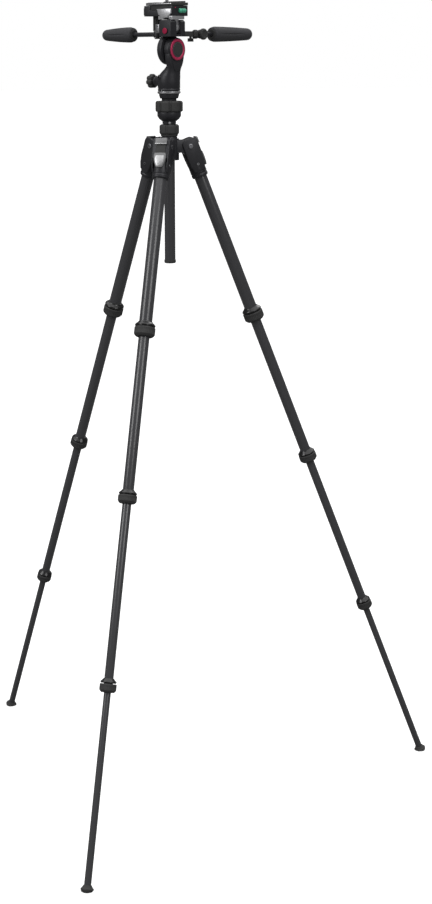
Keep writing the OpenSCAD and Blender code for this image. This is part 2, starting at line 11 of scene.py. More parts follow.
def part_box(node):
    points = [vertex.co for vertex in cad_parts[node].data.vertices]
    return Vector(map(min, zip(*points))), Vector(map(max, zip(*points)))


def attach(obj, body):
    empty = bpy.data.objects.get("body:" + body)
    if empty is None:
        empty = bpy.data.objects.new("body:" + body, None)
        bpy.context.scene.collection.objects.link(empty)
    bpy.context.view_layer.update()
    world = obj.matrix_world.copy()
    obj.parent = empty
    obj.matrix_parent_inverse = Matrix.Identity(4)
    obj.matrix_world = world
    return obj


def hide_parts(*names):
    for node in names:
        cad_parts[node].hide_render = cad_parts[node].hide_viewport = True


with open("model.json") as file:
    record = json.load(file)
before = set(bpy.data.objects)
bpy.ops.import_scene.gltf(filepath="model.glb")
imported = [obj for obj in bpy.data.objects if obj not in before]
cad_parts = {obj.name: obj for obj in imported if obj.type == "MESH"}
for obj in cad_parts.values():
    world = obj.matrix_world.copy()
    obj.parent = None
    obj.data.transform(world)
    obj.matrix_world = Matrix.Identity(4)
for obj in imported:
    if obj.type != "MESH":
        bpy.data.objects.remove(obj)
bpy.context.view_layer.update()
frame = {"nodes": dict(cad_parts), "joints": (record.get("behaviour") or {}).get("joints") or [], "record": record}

bl_info = {
    "name": "Travel tripod looks",
    "version": (1, 0, 0),
    "blender": (4, 5, 0),
    "location": "View3D > Sidebar > Tripod",
    "description": "Builds the visible pieces and finishes of a travel tripod with a three-way head",
    "category": "Object",
}

MM = 0.001
LEGS = (1, 2, 3)
JOINTS = {j["name"]: j for j in frame["joints"]}
NODES = frame["nodes"]


# ---------------------------------------------------------------- frames and measures


def axes_frame(x, z, origin=(0, 0, 0)):
    """A matrix whose X and Z columns are x and z, at origin."""
    x, z = Vector(x).normalized(), Vector(z).normalized()
    m = Matrix((x, z.cross(x), z)).transposed().to_4x4()
    m.translation = Vector(origin)
    return m


def leg_frame(n):
    """The pivot of leg n at the origin, the leg along -Z and outwards -Y."""
    fold = JOINTS[f"leg_{n}_fold"]
    return axes_frame(-Vector(fold["axis"]), JOINTS[f"leg_{n}_slide_2"]["axis"], fold["pos_m"])


HEAD = axes_frame(JOINTS["head_tilt"]["axis"], (0, 0, 1))
WORLD = Matrix.Identity(4)


def along(origin, direction, base=None):
    """A frame in base whose Z runs along direction from origin, both given in base."""
    base = HEAD if base is None else base
    z = Vector(direction).normalized()
    x = Vector((0, 0, 1)) if abs(z.z) < 0.9 else Vector((1, 0, 0))
    x = (x - z * x.dot(z)).normalized()
    return base @ axes_frame(x, z, origin)


def local_points(node, m):
    """A CAD node's vertices, in the frame m."""
    inverse = m.inverted()
    return [inverse @ v.co for v in NODES[node].data.vertices]


def local_box(node, m=None):
    """Lowest and highest corner of a CAD node, in the frame m."""
    points = local_points(node, HEAD if m is None else m)
    low = Vector([min(p[i] for p in points) for i in range(3)])
    high = Vector([max(p[i] for p in points) for i in range(3)])
    return low, high


def reach(node, m, low, high):
    """Largest distance from m's Z axis of the node's vertices between two heights."""
    return max(math.hypot(p.x, p.y) for p in local_points(node, m) if low <= p.z <= high)


def tube_radius(n, k):
    """Outer radius of tube k of leg n, at its lower end."""
    m, name = leg_frame(n), f"leg_{n}_tube_{k}"
    end = local_box(name, m)[0].z
    return reach(name, m, end - 0.1 * MM, end + 0.1 * MM)


def side_plane(m, x):
    """The plane at x in the frame m, its own X along m's Y and its own Z along m's X."""
    return m @ Matrix.Translation((x, 0, 0)) @ axes_frame((0, 1, 0), (1, 0, 0))


# ---------------------------------------------------------------- meshes


def rounded(points, radius):
    """The closed outline with each corner replaced by a short curve."""
    out = []
    count = len(points)
    steps = 3
    for i, p in enumerate(points):
        a, b, c = Vector(points[i - 1]), Vector(p), Vector(points[(i + 1) % count])
        before, after = (a - b), (c - b)
        cut = min(radius, before.length * 0.45, after.length * 0.45)
        if b.x < 1e-7 or cut < 1e-6 or before.angle(after, math.pi) > math.radians(165):
            out.append((b.x, b.y))
            continue
        start, end = b + before.normalized() * cut, b + after.normalized() * cut
        for k in range(steps + 1):
            t = k / steps
            q = start * (1 - t) ** 2 + b * 2 * t * (1 - t) + end * t * t
            out.append((q.x, q.y))
    return out


def linked(name, data):
    """A new object in the scene."""
    obj = bpy.data.objects.new(name, data)
    bpy.context.scene.collection.objects.link(obj)
    return obj


def from_bmesh(name, bm, m=None, smooth=40):
    """An object from a bmesh, moved by m, smooth except at edges sharper than the angle given in degrees."""
    mesh = bpy.data.meshes.new(name)
    bmesh.ops.recalc_face_normals(bm, faces=bm.faces)
    bm.to_mesh(mesh)
    bm.free()
    if m is not None:
        mesh.transform(m)
    mesh.shade_smooth()
    mesh.set_sharp_from_angle(angle=math.radians(smooth))
    return linked(name, mesh)


def turned(name, outline, m, segments=64, soft=0.4 * MM, shape=None, smooth=40):
    """A body of revolution about m's Z axis from a closed (radius, height) outline.

    shape(angle, radius, height) may return another radius, for lobes, ribs and threads.
    The UV map runs in metres, round the body and along its outline.
    """
    points = rounded([Vector(p) for p in outline], soft) if soft else [tuple(p) for p in outline]
    bm = bmesh.new()
    uv = bm.loops.layers.uv.new("UVMap")
    columns = []
    for s in range(segments):
        angle = 2 * math.pi * s / segments
        column = []
        for r, z in points:
            rr = shape(angle, r, z) if shape and r > 1e-7 else r
            column.append(bm.verts.new((rr * math.cos(angle), rr * math.sin(angle), z)))
        columns.append(column)
    size = max(p[0] for p in points)
    lengths = [0.0]
    for a, b in zip(points, points[1:] + points[:1]):
        lengths.append(lengths[-1] + math.hypot(b[0] - a[0], b[1] - a[1]))
    count = len(points)
    for s in range(segments):
        left, right = columns[s], columns[(s + 1) % segments]
        for i in range(count):
            k = (i + 1) % count
            if points[i][0] < 1e-7 and points[k][0] < 1e-7:
                continue
            face = bm.faces.new((left[i], right[i], right[k], left[k]))
            around = (s * 2 * math.pi * size / segments, (s + 1) * 2 * math.pi * size / segments)
            spots = (
                (around[0], lengths[i]),
                (around[1], lengths[i]),
                (around[1], lengths[i + 1]),
                (around[0], lengths[i + 1]),
            )
            for loop, spot in zip(face.loops, spots):
                loop[uv].uv = spot
    bmesh.ops.remove_doubles(bm, verts=bm.verts, dist=1e-7)
    return from_bmesh(name, bm, m, smooth)


def block(name, low, high, m, soft=0.6 * MM, segments=3):
    """A box from corner to corner with rounded edges."""
    low, high = Vector(low), Vector(high)
    bm = bmesh.new()
    bmesh.ops.create_cube(bm, size=1)
    for v in bm.verts:
        v.co = Vector([(low[i] + high[i]) / 2 + v.co[i] * (high[i] - low[i]) for i in range(3)])
    width = min(soft, min(high - low) * 0.45)
    bmesh.ops.bevel(bm, geom=bm.edges[:], offset=width, segments=segments, affect="EDGES", profile=0.5)
    return from_bmesh(name, bm, m)


def plate_shape(name, outline, thickness, m, soft=0.5 * MM):
    """An outline in m's XY plane raised by thickness along Z, with rounded edges."""
    bm = bmesh.new()
    face = bm.faces.new([bm.verts.new((x, y, 0)) for x, y in outline])
    made = bmesh.ops.extrude_face_region(bm, geom=[face])
    for v in made["geom"]:
        if isinstance(v, bmesh.types.BMVert):
            v.co.z += thickness
    rims = [e for e in bm.edges if abs(e.verts[0].co.z - e.verts[1].co.z) < 1e-9]
    bmesh.ops.bevel(bm, geom=rims, offset=min(soft, thickness * 0.4), segments=3, affect="EDGES", profile=0.5)
    return from_bmesh(name, bm, m)


def arc(cx, cy, r, start, end, steps=16):
    """Points on an arc, angles in degrees."""
    spread = [math.radians(start + (end - start) * i / steps) for i in range(steps + 1)]
    return [(cx + r * math.cos(a), cy + r * math.sin(a)) for a in spread]


def oval(cx, cy, hx, hy, power, count):
    """Points of a superellipse: power 2 is an ellipse, larger is squarer."""
    out = []
    for i in range(count):
        a = 2 * math.pi * i / count
        c, d = math.cos(a), math.sin(a)
        out.append(
            (
                cx + hx * math.copysign(abs(c) ** (2 / power), c),
                cy + hy * math.copysign(abs(d) ** (2 / power), d),
            ),
        )
    return out


def lofted(name, rings, m, smooth=40):
    """A closed skin over rings of equal numbers of points, its two ends filled."""
    bm = bmesh.new()
    rows = [[bm.verts.new(p) for p in ring] for ring in rings]
    for low, high in zip(rows, rows[1:]):
        for i in range(len(low)):
            k = (i + 1) % len(low)
            bm.faces.new((low[i], low[k], high[k], high[i]))
    bm.faces.new(rows[0][::-1])
    bm.faces.new(rows[-1])
    return from_bmesh(name, bm, m, smooth)


def bake(obj):
    """Applies the object's modifiers."""
    depsgraph = bpy.context.evaluated_depsgraph_get()
    mesh = bpy.data.meshes.new_from_object(obj.evaluated_get(depsgraph))
    obj.modifiers.clear()
    obj.data = mesh


def joined(name, objects):
    """One object holding the meshes of several."""
    bm = bmesh.new()
    for o in objects:
        bm.from_mesh(o.data)
        bpy.data.objects.remove(o)
    mesh = bpy.data.meshes.new(name)
    bm.to_mesh(mesh)
    bm.free()
    mesh.shade_smooth()
    mesh.set_sharp_from_angle(angle=math.radians(40))
    return linked(name, mesh)


def place(obj, body, finish, *nodes, slot=None):
    """Gives a piece its body, finish and the CAD nodes it stands for; the slot argument is not used."""
    obj.data.materials.clear()
    obj.data.materials.append(finished(finish))
    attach(obj, body)
    if nodes:
        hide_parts(*nodes)
    return obj


def skin(node, suffix, body, finish, width, segments=3, slot=None):
    """Places a CAD node's own shape, its sharp edges rounded off, in the node's stead."""
    mesh = NODES[node].data.copy()
    mesh.materials.clear()
    bm = bmesh.new()
    bm.from_mesh(mesh)
    bmesh.ops.remove_doubles(bm, verts=bm.verts, dist=2e-6)
    bmesh.ops.dissolve_limit(bm, angle_limit=math.radians(0.6), verts=bm.verts, edges=bm.edges)
    bm.to_mesh(mesh)
    bm.free()
    obj = linked(f"{node}_{suffix}", mesh)
    bevel = obj.modifiers.new("round", "BEVEL")
    bevel.width = width
    bevel.segments = segments
    bevel.limit_method = "ANGLE"
    bevel.angle_limit = math.radians(32)
    bevel.miter_outer = "MITER_ARC"
    bevel.use_clamp_overlap = True
    bake(obj)
    obj.data.shade_smooth()
    obj.data.set_sharp_from_angle(angle=math.radians(42))
    place(obj, body, finish, node, slot=slot)


def socket_screw(name, m, radius, height):
    """A round screw head with a hexagon socket, its seat at m's origin and its top along +Z."""
    sides = 32
    turns = [2 * math.pi * i / sides for i in range(sides)]
    socket = [radius * 0.5 / math.cos((a + math.pi / 6) % (math.pi / 3) - math.pi / 6) for a in turns]
    rows = [
        ([radius] * sides, 0),
        ([radius] * sides, height * 0.75),
        ([radius * 0.9] * sides, height),
        (socket, height),
        (socket, height * 0.3),
    ]
    rings = [[(r * math.cos(a), r * math.sin(a), z) for r, a in zip(radii, turns)] for radii, z in rows]
    return lofted(name, rings, m)


def ribs(count, depth, low, high, sharp=1.0):
    """A shape for turned(): ribs round the body between two heights."""

    def shape(angle, r, z):
        if not low <= z <= high:
            return r
        wave = 0.5 + 0.5 * math.cos(count * angle)
        return r - depth * (1 - wave**sharp)

    return shape


# ---------------------------------------------------------------- shader groups


def new_group(name, inputs, outputs):
    """A shader node group with its sockets, and its input and output nodes."""
    group = bpy.data.node_groups.new(name, "ShaderNodeTree")
    for title, kind, value in inputs:
        socket = group.interface.new_socket(name=title, in_out="INPUT", socket_type=kind)
        socket.default_value = value
    for title, kind in outputs:
        group.interface.new_socket(name=title, in_out="OUTPUT", socket_type=kind)
    return group, group.nodes.new("NodeGroupInput"), group.nodes.new("NodeGroupOutput")


def node(tree, kind, **values):
    """A shader node with its settings; keys that start with in_ set an input by number."""
    made = tree.nodes.new(kind)
    for key, value in values.items():
        if key.startswith("in_"):
            made.inputs[int(key[3:])].default_value = value
        else:
            setattr(made, key, value)
    return made


def maths(tree, operation, a, b=None, clamp=False):
    """A maths node fed by sockets or numbers; returns its output socket."""
    made = node(tree, "ShaderNodeMath", operation=operation, use_clamp=clamp)
    for i, value in enumerate((a, b)):
        if value is None:
            continue
        if isinstance(value, (int, float)):
            made.inputs[i].default_value = value
        else:
            tree.links.new(value, made.inputs[i])
    return made.outputs[0]


def noise(tree, vector, scale, detail=3.0):
    """A noise texture's value; scale is a socket or a number."""
    made = node(tree, "ShaderNodeTexNoise", in_3=detail, in_4=0.6)
    tree.links.new(vector, made.inputs["Vector"])
    if isinstance(scale, (int, float)):
        made.inputs["Scale"].default_value = scale
    else:
        tree.links.new(scale, made.inputs["Scale"])
    return made.outputs[0]


def mixed(tree, factor, a, b):
    """A colour mix; factor, a and b are sockets or values."""
    made = node(tree, "ShaderNodeMix", data_type="RGBA")
    for socket, value in ((made.inputs[0], factor), (made.inputs[6], a), (made.inputs[7], b)):
        if isinstance(value, bpy.types.NodeSocket):
            tree.links.new(value, socket)
        else:
            socket.default_value = value
    return made.outputs[2]


def edge_wear_group():
    """Rubbed edges: a colour that shows where the surface is convex, broken up by noise."""
    group, given, out = new_group(
        "edge_wear",
        [
            ("Colour", "NodeSocketColor", (0.02, 0.02, 0.02, 1)),
            ("Worn colour", "NodeSocketColor", (0.2, 0.2, 0.2, 1)),
            ("Amount", "NodeSocketFloat", 0.4),
            ("Patch scale", "NodeSocketFloat", 60.0),
        ],
        [("Colour", "NodeSocketColor")],
    )
    place_in = node(group, "ShaderNodeTexCoord").outputs["Object"]
    convex = node(group, "ShaderNodeNewGeometry").outputs["Pointiness"]
    ramp = node(group, "ShaderNodeMapRange", in_1=0.515, in_2=0.6)
    group.links.new(convex, ramp.inputs[0])
    patches = noise(group, place_in, given.outputs["Patch scale"])
    broken = maths(group, "MULTIPLY", ramp.outputs[0], maths(group, "SUBTRACT", patches, 0.32, clamp=True))
    mask = maths(group, "MULTIPLY", broken, given.outputs["Amount"], clamp=True)
    colour = mixed(group, mask, given.outputs["Colour"], given.outputs["Worn colour"])
    group.links.new(colour, out.inputs["Colour"])
    return group


def surface_grain_group():
    """Fine grain: a height for bump, with a slow drift in roughness and in shade."""
    group, given, out = new_group(
        "surface_grain",
        [
            ("Grain scale", "NodeSocketFloat", 1800.0),
            ("Roughness", "NodeSocketFloat", 0.5),
            ("Spread", "NodeSocketFloat", 0.1),
        ],
        [("Height", "NodeSocketFloat"), ("Roughness", "NodeSocketFloat"), ("Shade", "NodeSocketFloat")],
    )
    place_in = node(group, "ShaderNodeTexCoord").outputs["Object"]
    grain = noise(group, place_in, given.outputs["Grain scale"], 2.0)
    drift = noise(group, place_in, 35.0, 4.0)
    centred = maths(group, "SUBTRACT", drift, 0.5)
    rough = maths(
        group, "ADD", given.outputs["Roughness"], maths(group, "MULTIPLY", centred, given.outputs["Spread"])
    )
    group.links.new(grain, out.inputs["Height"])
    group.links.new(rough, out.inputs["Roughness"])
    group.links.new(drift, out.inputs["Shade"])
    return group


def carbon_weave_group():
    """Twill weave in the UV map: two tow directions that differ a little in shade, gloss and height."""
    group, given, out = new_group(
        "carbon_weave",
        [
            ("Dark tow", "NodeSocketColor", (0.012, 0.012, 0.013, 1)),
            ("Light tow", "NodeSocketColor", (0.045, 0.045, 0.048, 1)),
            ("Tow width", "NodeSocketFloat", 0.0012),
            ("Roughness", "NodeSocketFloat", 0.32),
        ],
        [("Colour", "NodeSocketColor"), ("Roughness", "NodeSocketFloat"), ("Height", "NodeSocketFloat")],
    )
    spot = node(group, "ShaderNodeUVMap", uv_map="UVMap").outputs[0]
    split = node(group, "ShaderNodeSeparateXYZ")
    group.links.new(spot, split.inputs[0])
    u = maths(group, "DIVIDE", split.outputs[0], given.outputs["Tow width"])
    v = maths(group, "DIVIDE", split.outputs[1], given.outputs["Tow width"])
    step = maths(group, "ADD", maths(group, "FLOOR", u), maths(group, "FLOOR", v))
    over = maths(group, "LESS_THAN", maths(group, "MODULO", maths(group, "ADD", step, 4000.0), 4.0), 2.0)
    across = maths(group, "SUBTRACT", maths(group, "FRACT", u), 0.5)
    upward = maths(group, "SUBTRACT", maths(group, "FRACT", v), 0.5)
    crown_u = maths(group, "SUBTRACT", 1.0, maths(group, "MULTIPLY", across, across))
    crown_v = maths(group, "SUBTRACT", 1.0, maths(group, "MULTIPLY", upward, upward))
    both = node(group, "ShaderNodeMix", data_type="FLOAT")
    group.links.new(over, both.inputs[0])
    group.links.new(crown_u, both.inputs[2])
    group.links.new(crown_v, both.inputs[3])
    colour = mixed(group, over, given.outputs["Dark tow"], given.outputs["Light tow"])
    rough = maths(group, "ADD", given.outputs["Roughness"], maths(group, "MULTIPLY", over, 0.08))
    group.links.new(colour, out.inputs["Colour"])
    group.links.new(rough, out.inputs["Roughness"])
    group.links.new(both.outputs[0], out.inputs["Height"])
    return group


GROUPS = {}


def placed_group(tree, key, **values):
    """One copy of a shared group in a material, with its input values."""
    makers = {"wear": edge_wear_group, "grain": surface_grain_group, "weave": carbon_weave_group}
    if key not in GROUPS:
        GROUPS[key] = makers[key]()
    made = node(tree, "ShaderNodeGroup", node_tree=GROUPS[key])
    for title, value in values.items():
        made.inputs[title.replace("_", " ")].default_value = value
    return made


def bump(tree, height, strength, distance, shader):
    """Feeds a height to the shader's normal."""
    made = node(tree, "ShaderNodeBump")
    made.inputs["Strength"].default_value = strength
    made.inputs["Distance"].default_value = distance
    tree.links.new(height, made.inputs["Height"])
    tree.links.new(made.outputs[0], shader.inputs["Normal"])


def rgba(colour):
    return (*colour[:3], 1.0)


def finish_of(
    name, colour, worn, rough, spread=0.12, grain=2600.0, depth=0.25, wear=0.5, metal=0.0, coat=0.0, gloss=0.2
):
    """A moulded, cast or machined finish with grain, drifting gloss and rubbed edges."""
    material = bpy.data.materials.new(name)
    material.use_nodes = True
    tree = material.node_tree
    shader = tree.nodes["Principled BSDF"]
    constants = {"Metallic": metal, "Coat Weight": coat, "Specular IOR Level": gloss, "Coat Roughness": 0.15}
    for title, value in constants.items():
        shader.inputs[title].default_value = value
    fine = placed_group(tree, "grain", Grain_scale=grain, Roughness=rough, Spread=spread)
    dark = [c * 0.86 for c in colour]
    shade = mixed(tree, fine.outputs["Shade"], rgba(dark), rgba([min(1, c * 1.16) for c in colour]))
    edge = placed_group(tree, "wear", Amount=wear)
    edge.inputs["Worn colour"].default_value = rgba(worn)
    tree.links.new(shade, edge.inputs["Colour"])
    tree.links.new(edge.outputs["Colour"], shader.inputs["Base Color"])
    tree.links.new(fine.outputs["Roughness"], shader.inputs["Roughness"])
    bump(tree, fine.outputs["Height"], depth, 0.0002, shader)
    return material


def looks():
    return bpy.context.scene.tripod_looks


def grey(level):
    return (level, level, level)


# For each finish: its colour or the setting that holds it, the colour of rubbed edges, its roughness,
# and what differs from the usual finish.
FINISHES = {
    "cast_black": ("cast_colour", (0.09, 0.09, 0.095), 0.42, {"depth": 0.35}),
    "moulded_black": ("plastic_colour", grey(0.06), 0.5, {"grain": 3200.0, "wear": 0.3}),
    "ribbed_plastic": ("plastic_colour", grey(0.07), 0.55, {"grain": 2400.0, "depth": 0.3}),
    "satin_black": ("plastic_colour", grey(0.12), 0.26, {"grain": 3200.0, "depth": 0.12, "gloss": 0.55}),
    "grip_rubber": (
        "rubber_colour", grey(0.05), 0.5, {"grain": 2800.0, "depth": 0.5, "wear": 0.2, "gloss": 0.5}
    ),
    "foot_rubber": (grey(0.018), grey(0.05), 0.75, {"grain": 1500.0, "depth": 0.5}),
    "rubber_pad": (grey(0.022), grey(0.05), 0.7, {"grain": 2000.0, "depth": 0.5, "wear": 0.3}),
    "catch_grey": ("catch_colour", grey(0.6), 0.33, {"grain": 2200.0, "metal": 0.85, "depth": 0.15}),
    "catch_pale": ((0.2, 0.2, 0.204), grey(0.5), 0.5, {"grain": 1200.0, "metal": 0.4, "depth": 0.2}),
    "bright_alloy": ((0.17, 0.17, 0.173), grey(0.5), 0.38, {"metal": 0.95, "depth": 0.12}),
    "bolt_steel": ((0.022, 0.022, 0.023), grey(0.12), 0.4, {"metal": 0.5, "depth": 0.12}),
    "dial_grey": ("dial_colour", grey(0.4), 0.38, {"metal": 0.6, "depth": 0.15}),
    "crimson_ring": ("ring_colour", (0.6, 0.12, 0.2), 0.34, {"metal": 0.3, "coat": 0.2}),
    "dot_red": ((0.30, 0.012, 0.05), (0.6, 0.2, 0.25), 0.35, {"wear": 0.2}),
    "mark_white": (grey(0.5), grey(0.6), 0.5, {"wear": 0.2}),
    "bearing_plastic": ((0.42, 0.42, 0.4), grey(0.5), 0.5, {"wear": 0.2}),
    "level_green": ("level_colour", (0.3, 0.8, 0.6), 0.12, {"spread": 0.05, "grain": 900.0, "depth": 0.05}),
}


def finished(name):
    """The material of that name, made on first use."""
    found = bpy.data.materials.get(name)
    if found:
        return found
    if name == "carbon_tube":
        return carbon_tube()
    colour, worn, rough, rest = FINISHES[name]
    if isinstance(colour, str):
        colour = getattr(looks(), colour)
    material = finish_of(name, colour, worn, rough, **rest)
    if name == "level_green":
        shader = material.node_tree.nodes["Principled BSDF"]
        shader.inputs["Coat Weight"].default_value = 0.8
        shader.inputs["Transmission Weight"].default_value = 0.25
    return material


def carbon_tube():
    """Woven carbon fibre under a clear satin resin."""
    material = bpy.data.materials.new("carbon_tube")
    material.use_nodes = True
    tree = material.node_tree
    shader = tree.nodes["Principled BSDF"]
    shader.inputs["Coat Weight"].default_value = 0.12
    shader.inputs["Coat Roughness"].default_value = 0.3
    shader.inputs["Specular IOR Level"].default_value = 0.4
    weave = placed_group(tree, "weave", Tow_width=0.0011, Roughness=0.4)
    weave.inputs["Dark tow"].default_value = rgba([c * 0.7 for c in looks().carbon_colour])
    weave.inputs["Light tow"].default_value = rgba([c * 1.35 for c in looks().carbon_colour])
    fine = placed_group(tree, "grain", Grain_scale=900.0, Roughness=0.4, Spread=0.16)
    colour = mixed(
        tree,
        maths(tree, "MULTIPLY", fine.outputs["Shade"], 0.3),
        weave.outputs["Colour"],
        (0.03, 0.03, 0.031, 1),
    )
    rough = maths(
        tree, "MULTIPLY", maths(tree, "ADD", weave.outputs["Roughness"], fine.outputs["Roughness"]), 0.5
    )
    tree.links.new(colour, shader.inputs["Base Color"])
    tree.links.new(rough, shader.inputs["Roughness"])
    bump(tree, weave.outputs["Height"], 0.12, 0.0001, shader)
    return material


# ---------------------------------------------------------------- settings


class TripodLooks(bpy.types.PropertyGroup):
    """Sizes and colours that a user would change."""

    edge_soft: bpy.props.FloatProperty(
        name="Edge rounding",
        description="Rounding of cast and moulded edges",
        default=0.0011,
        min=0.0001,
        max=0.003,
        unit="LENGTH",
    )
    lock_ribs: bpy.props.IntProperty(
        name="Lock ribs", description="Ribs round each twist lock", default=36, min=12, max=72
    )
    cast_colour: bpy.props.FloatVectorProperty(
        name="Cast parts", description="Colour of castings", default=(0.0062, 0.0062, 0.0068), subtype="COLOR"
    )
    plastic_colour: bpy.props.FloatVectorProperty(
        name="Plastic", description="Colour of moulded parts", default=(0.0052, 0.0052, 0.0056), subtype="COLOR"
    )
    rubber_colour: bpy.props.FloatVectorProperty(
        name="Grips", description="Colour of the handles' grips", default=(0.0075, 0.0075, 0.0078), subtype="COLOR"
    )
    carbon_colour: bpy.props.FloatVectorProperty(
        name="Tubes", description="Colour of the carbon tubes", default=(0.0125, 0.0125, 0.0135), subtype="COLOR"
    )
    catch_colour: bpy.props.FloatVectorProperty(
        name="Catches", description="Colour of the angle catches", default=(0.10, 0.10, 0.104), subtype="COLOR"
    )
    dial_colour: bpy.props.FloatVectorProperty(
        name="Dial", description="Colour of the pan scale", default=(0.075, 0.075, 0.078), subtype="COLOR"
    )
    ring_colour: bpy.props.FloatVectorProperty(
        name="Ring", description="Colour of the tilt ring", default=(0.15, 0.003, 0.022), subtype="COLOR"
    )
    level_colour: bpy.props.FloatVectorProperty(
        name="Level", description="Colour of the bubble level", default=(0.005, 0.11, 0.062), subtype="COLOR"
    )


class Piece(bpy.types.Operator):
    """Shared base of the tripod's operators"""

    bl_options = {"REGISTER", "UNDO"}

    def execute(self, context):
        self.build()
        return {"FINISHED"}


# ---------------------------------------------------------------- legs


class TRIPOD_OT_tubes(Piece):
    """Carbon leg tubes with their guide sleeves and the fixed rings of the locks"""

    bl_idname = "tripod.tubes"
    bl_label = "Leg tubes"

    def build(self):
        for n in LEGS:
            for k in (1, 2, 3, 4):
                self.tube(n, k)

    def tube(self, n, k):
        m = leg_frame(n)
        name = f"leg_{n}_tube_{k}"
        body = f"leg_{n}" if k == 1 else f"leg_{n}_section_{k}"
        low, high = local_box(name, m)
        r = tube_radius(n, k)
        wall = 1.2 * MM
        inner = r - wall
        tube = turned(
            name + "_carbon", [(inner, high.z), (r, high.z), (r, low.z), (inner, low.z)], m, 48, 0.2 * MM
        )
        place(tube, body, "carbon_tube", name)
        if k > 1:
            guide = reach(name, m, high.z - MM, high.z + MM)
            sleeve = [(r, high.z), (guide, high.z), (guide, high.z - 28 * MM), (r, high.z - 28 * MM)]
            ring = turned(name + "_guide", sleeve, m, 48, 0.3 * MM)
            place(ring, body, "bearing_plastic")
        if k < 4:
            lock_low, lock_high = local_box(f"leg_{n}_lock_{k}", m)
            outer = (lock_high.x - lock_low.x) / 2 - 0.4 * MM
            bottom = lock_high.z + 0.8 * MM
            top = self.ring_top(name, m, bottom, r)
            fixed = [
                (r, top),
                (r + 1.1 * MM, top),
                (r + 1.6 * MM, top - 1.0 * MM),
                (r + 2.0 * MM, top - 1.6 * MM),
                (outer - 0.9 * MM, top - 4.6 * MM),
                (outer, top - 6.0 * MM),
                (outer, bottom + 1.6 * MM),
                (outer - 0.9 * MM, bottom + 1.2 * MM),
                (outer - 0.9 * MM, bottom),
                (r, bottom),
            ]
            place(turned(name + "_ring", fixed, m, 72, 0.5 * MM), body, "satin_black", slot="ribbed_plastic")

    def ring_top(self, name, m, bottom, r):
        """Highest point of the fixed ring above its lower face."""
        points = [p for p in local_points(name, m) if bottom - MM <= p.z < bottom + 20 * MM]
        return max(p.z for p in points if math.hypot(p.x, p.y) > r + 2 * MM)


class TRIPOD_OT_locks(Piece):
    """Turning collars of the twist locks, with fine grip ribs"""

    bl_idname = "tripod.locks"
    bl_label = "Twist locks"

    def build(self):
        for n in LEGS:
            for k in (1, 2, 3):
                self.collar(n, k)

    def collar(self, n, k):
        m = leg_frame(n)
        name = f"leg_{n}_lock_{k}"
        low, high = local_box(name, m)
        outer = (high.x - low.x) / 2
        upper, lower = tube_radius(n, k) + 0.3 * MM, tube_radius(n, k + 1) + 0.3 * MM
        step = local_box(f"leg_{n}_tube_{k}", m)[0].z - 0.6 * MM
        rib_top, rib_low = high.z - 2.6 * MM, low.z + 4.2 * MM
        body = [
            (upper, high.z),
            (outer - 0.7 * MM, high.z),
            (outer - 0.1 * MM, high.z - 0.9 * MM),
            (outer, rib_top),
            (outer, rib_top - 0.5 * MM),
            (outer, (rib_top + rib_low) / 2),
            (outer, rib_low + 0.5 * MM),
            (outer, rib_low),
            (outer - 1.0 * MM, low.z + 2.6 * MM),
            (outer - 3.6 * MM, low.z),
            (lower, low.z),
            (lower, step),
            (upper, step),
        ]
        shape = ribs(looks().lock_ribs, 0.55 * MM, rib_low + 0.2 * MM, rib_top - 0.2 * MM, 0.45)
        piece = turned(name + "_collar", body, m, 216, 0.25 * MM, shape, 55)
        place(piece, name, "ribbed_plastic", name)


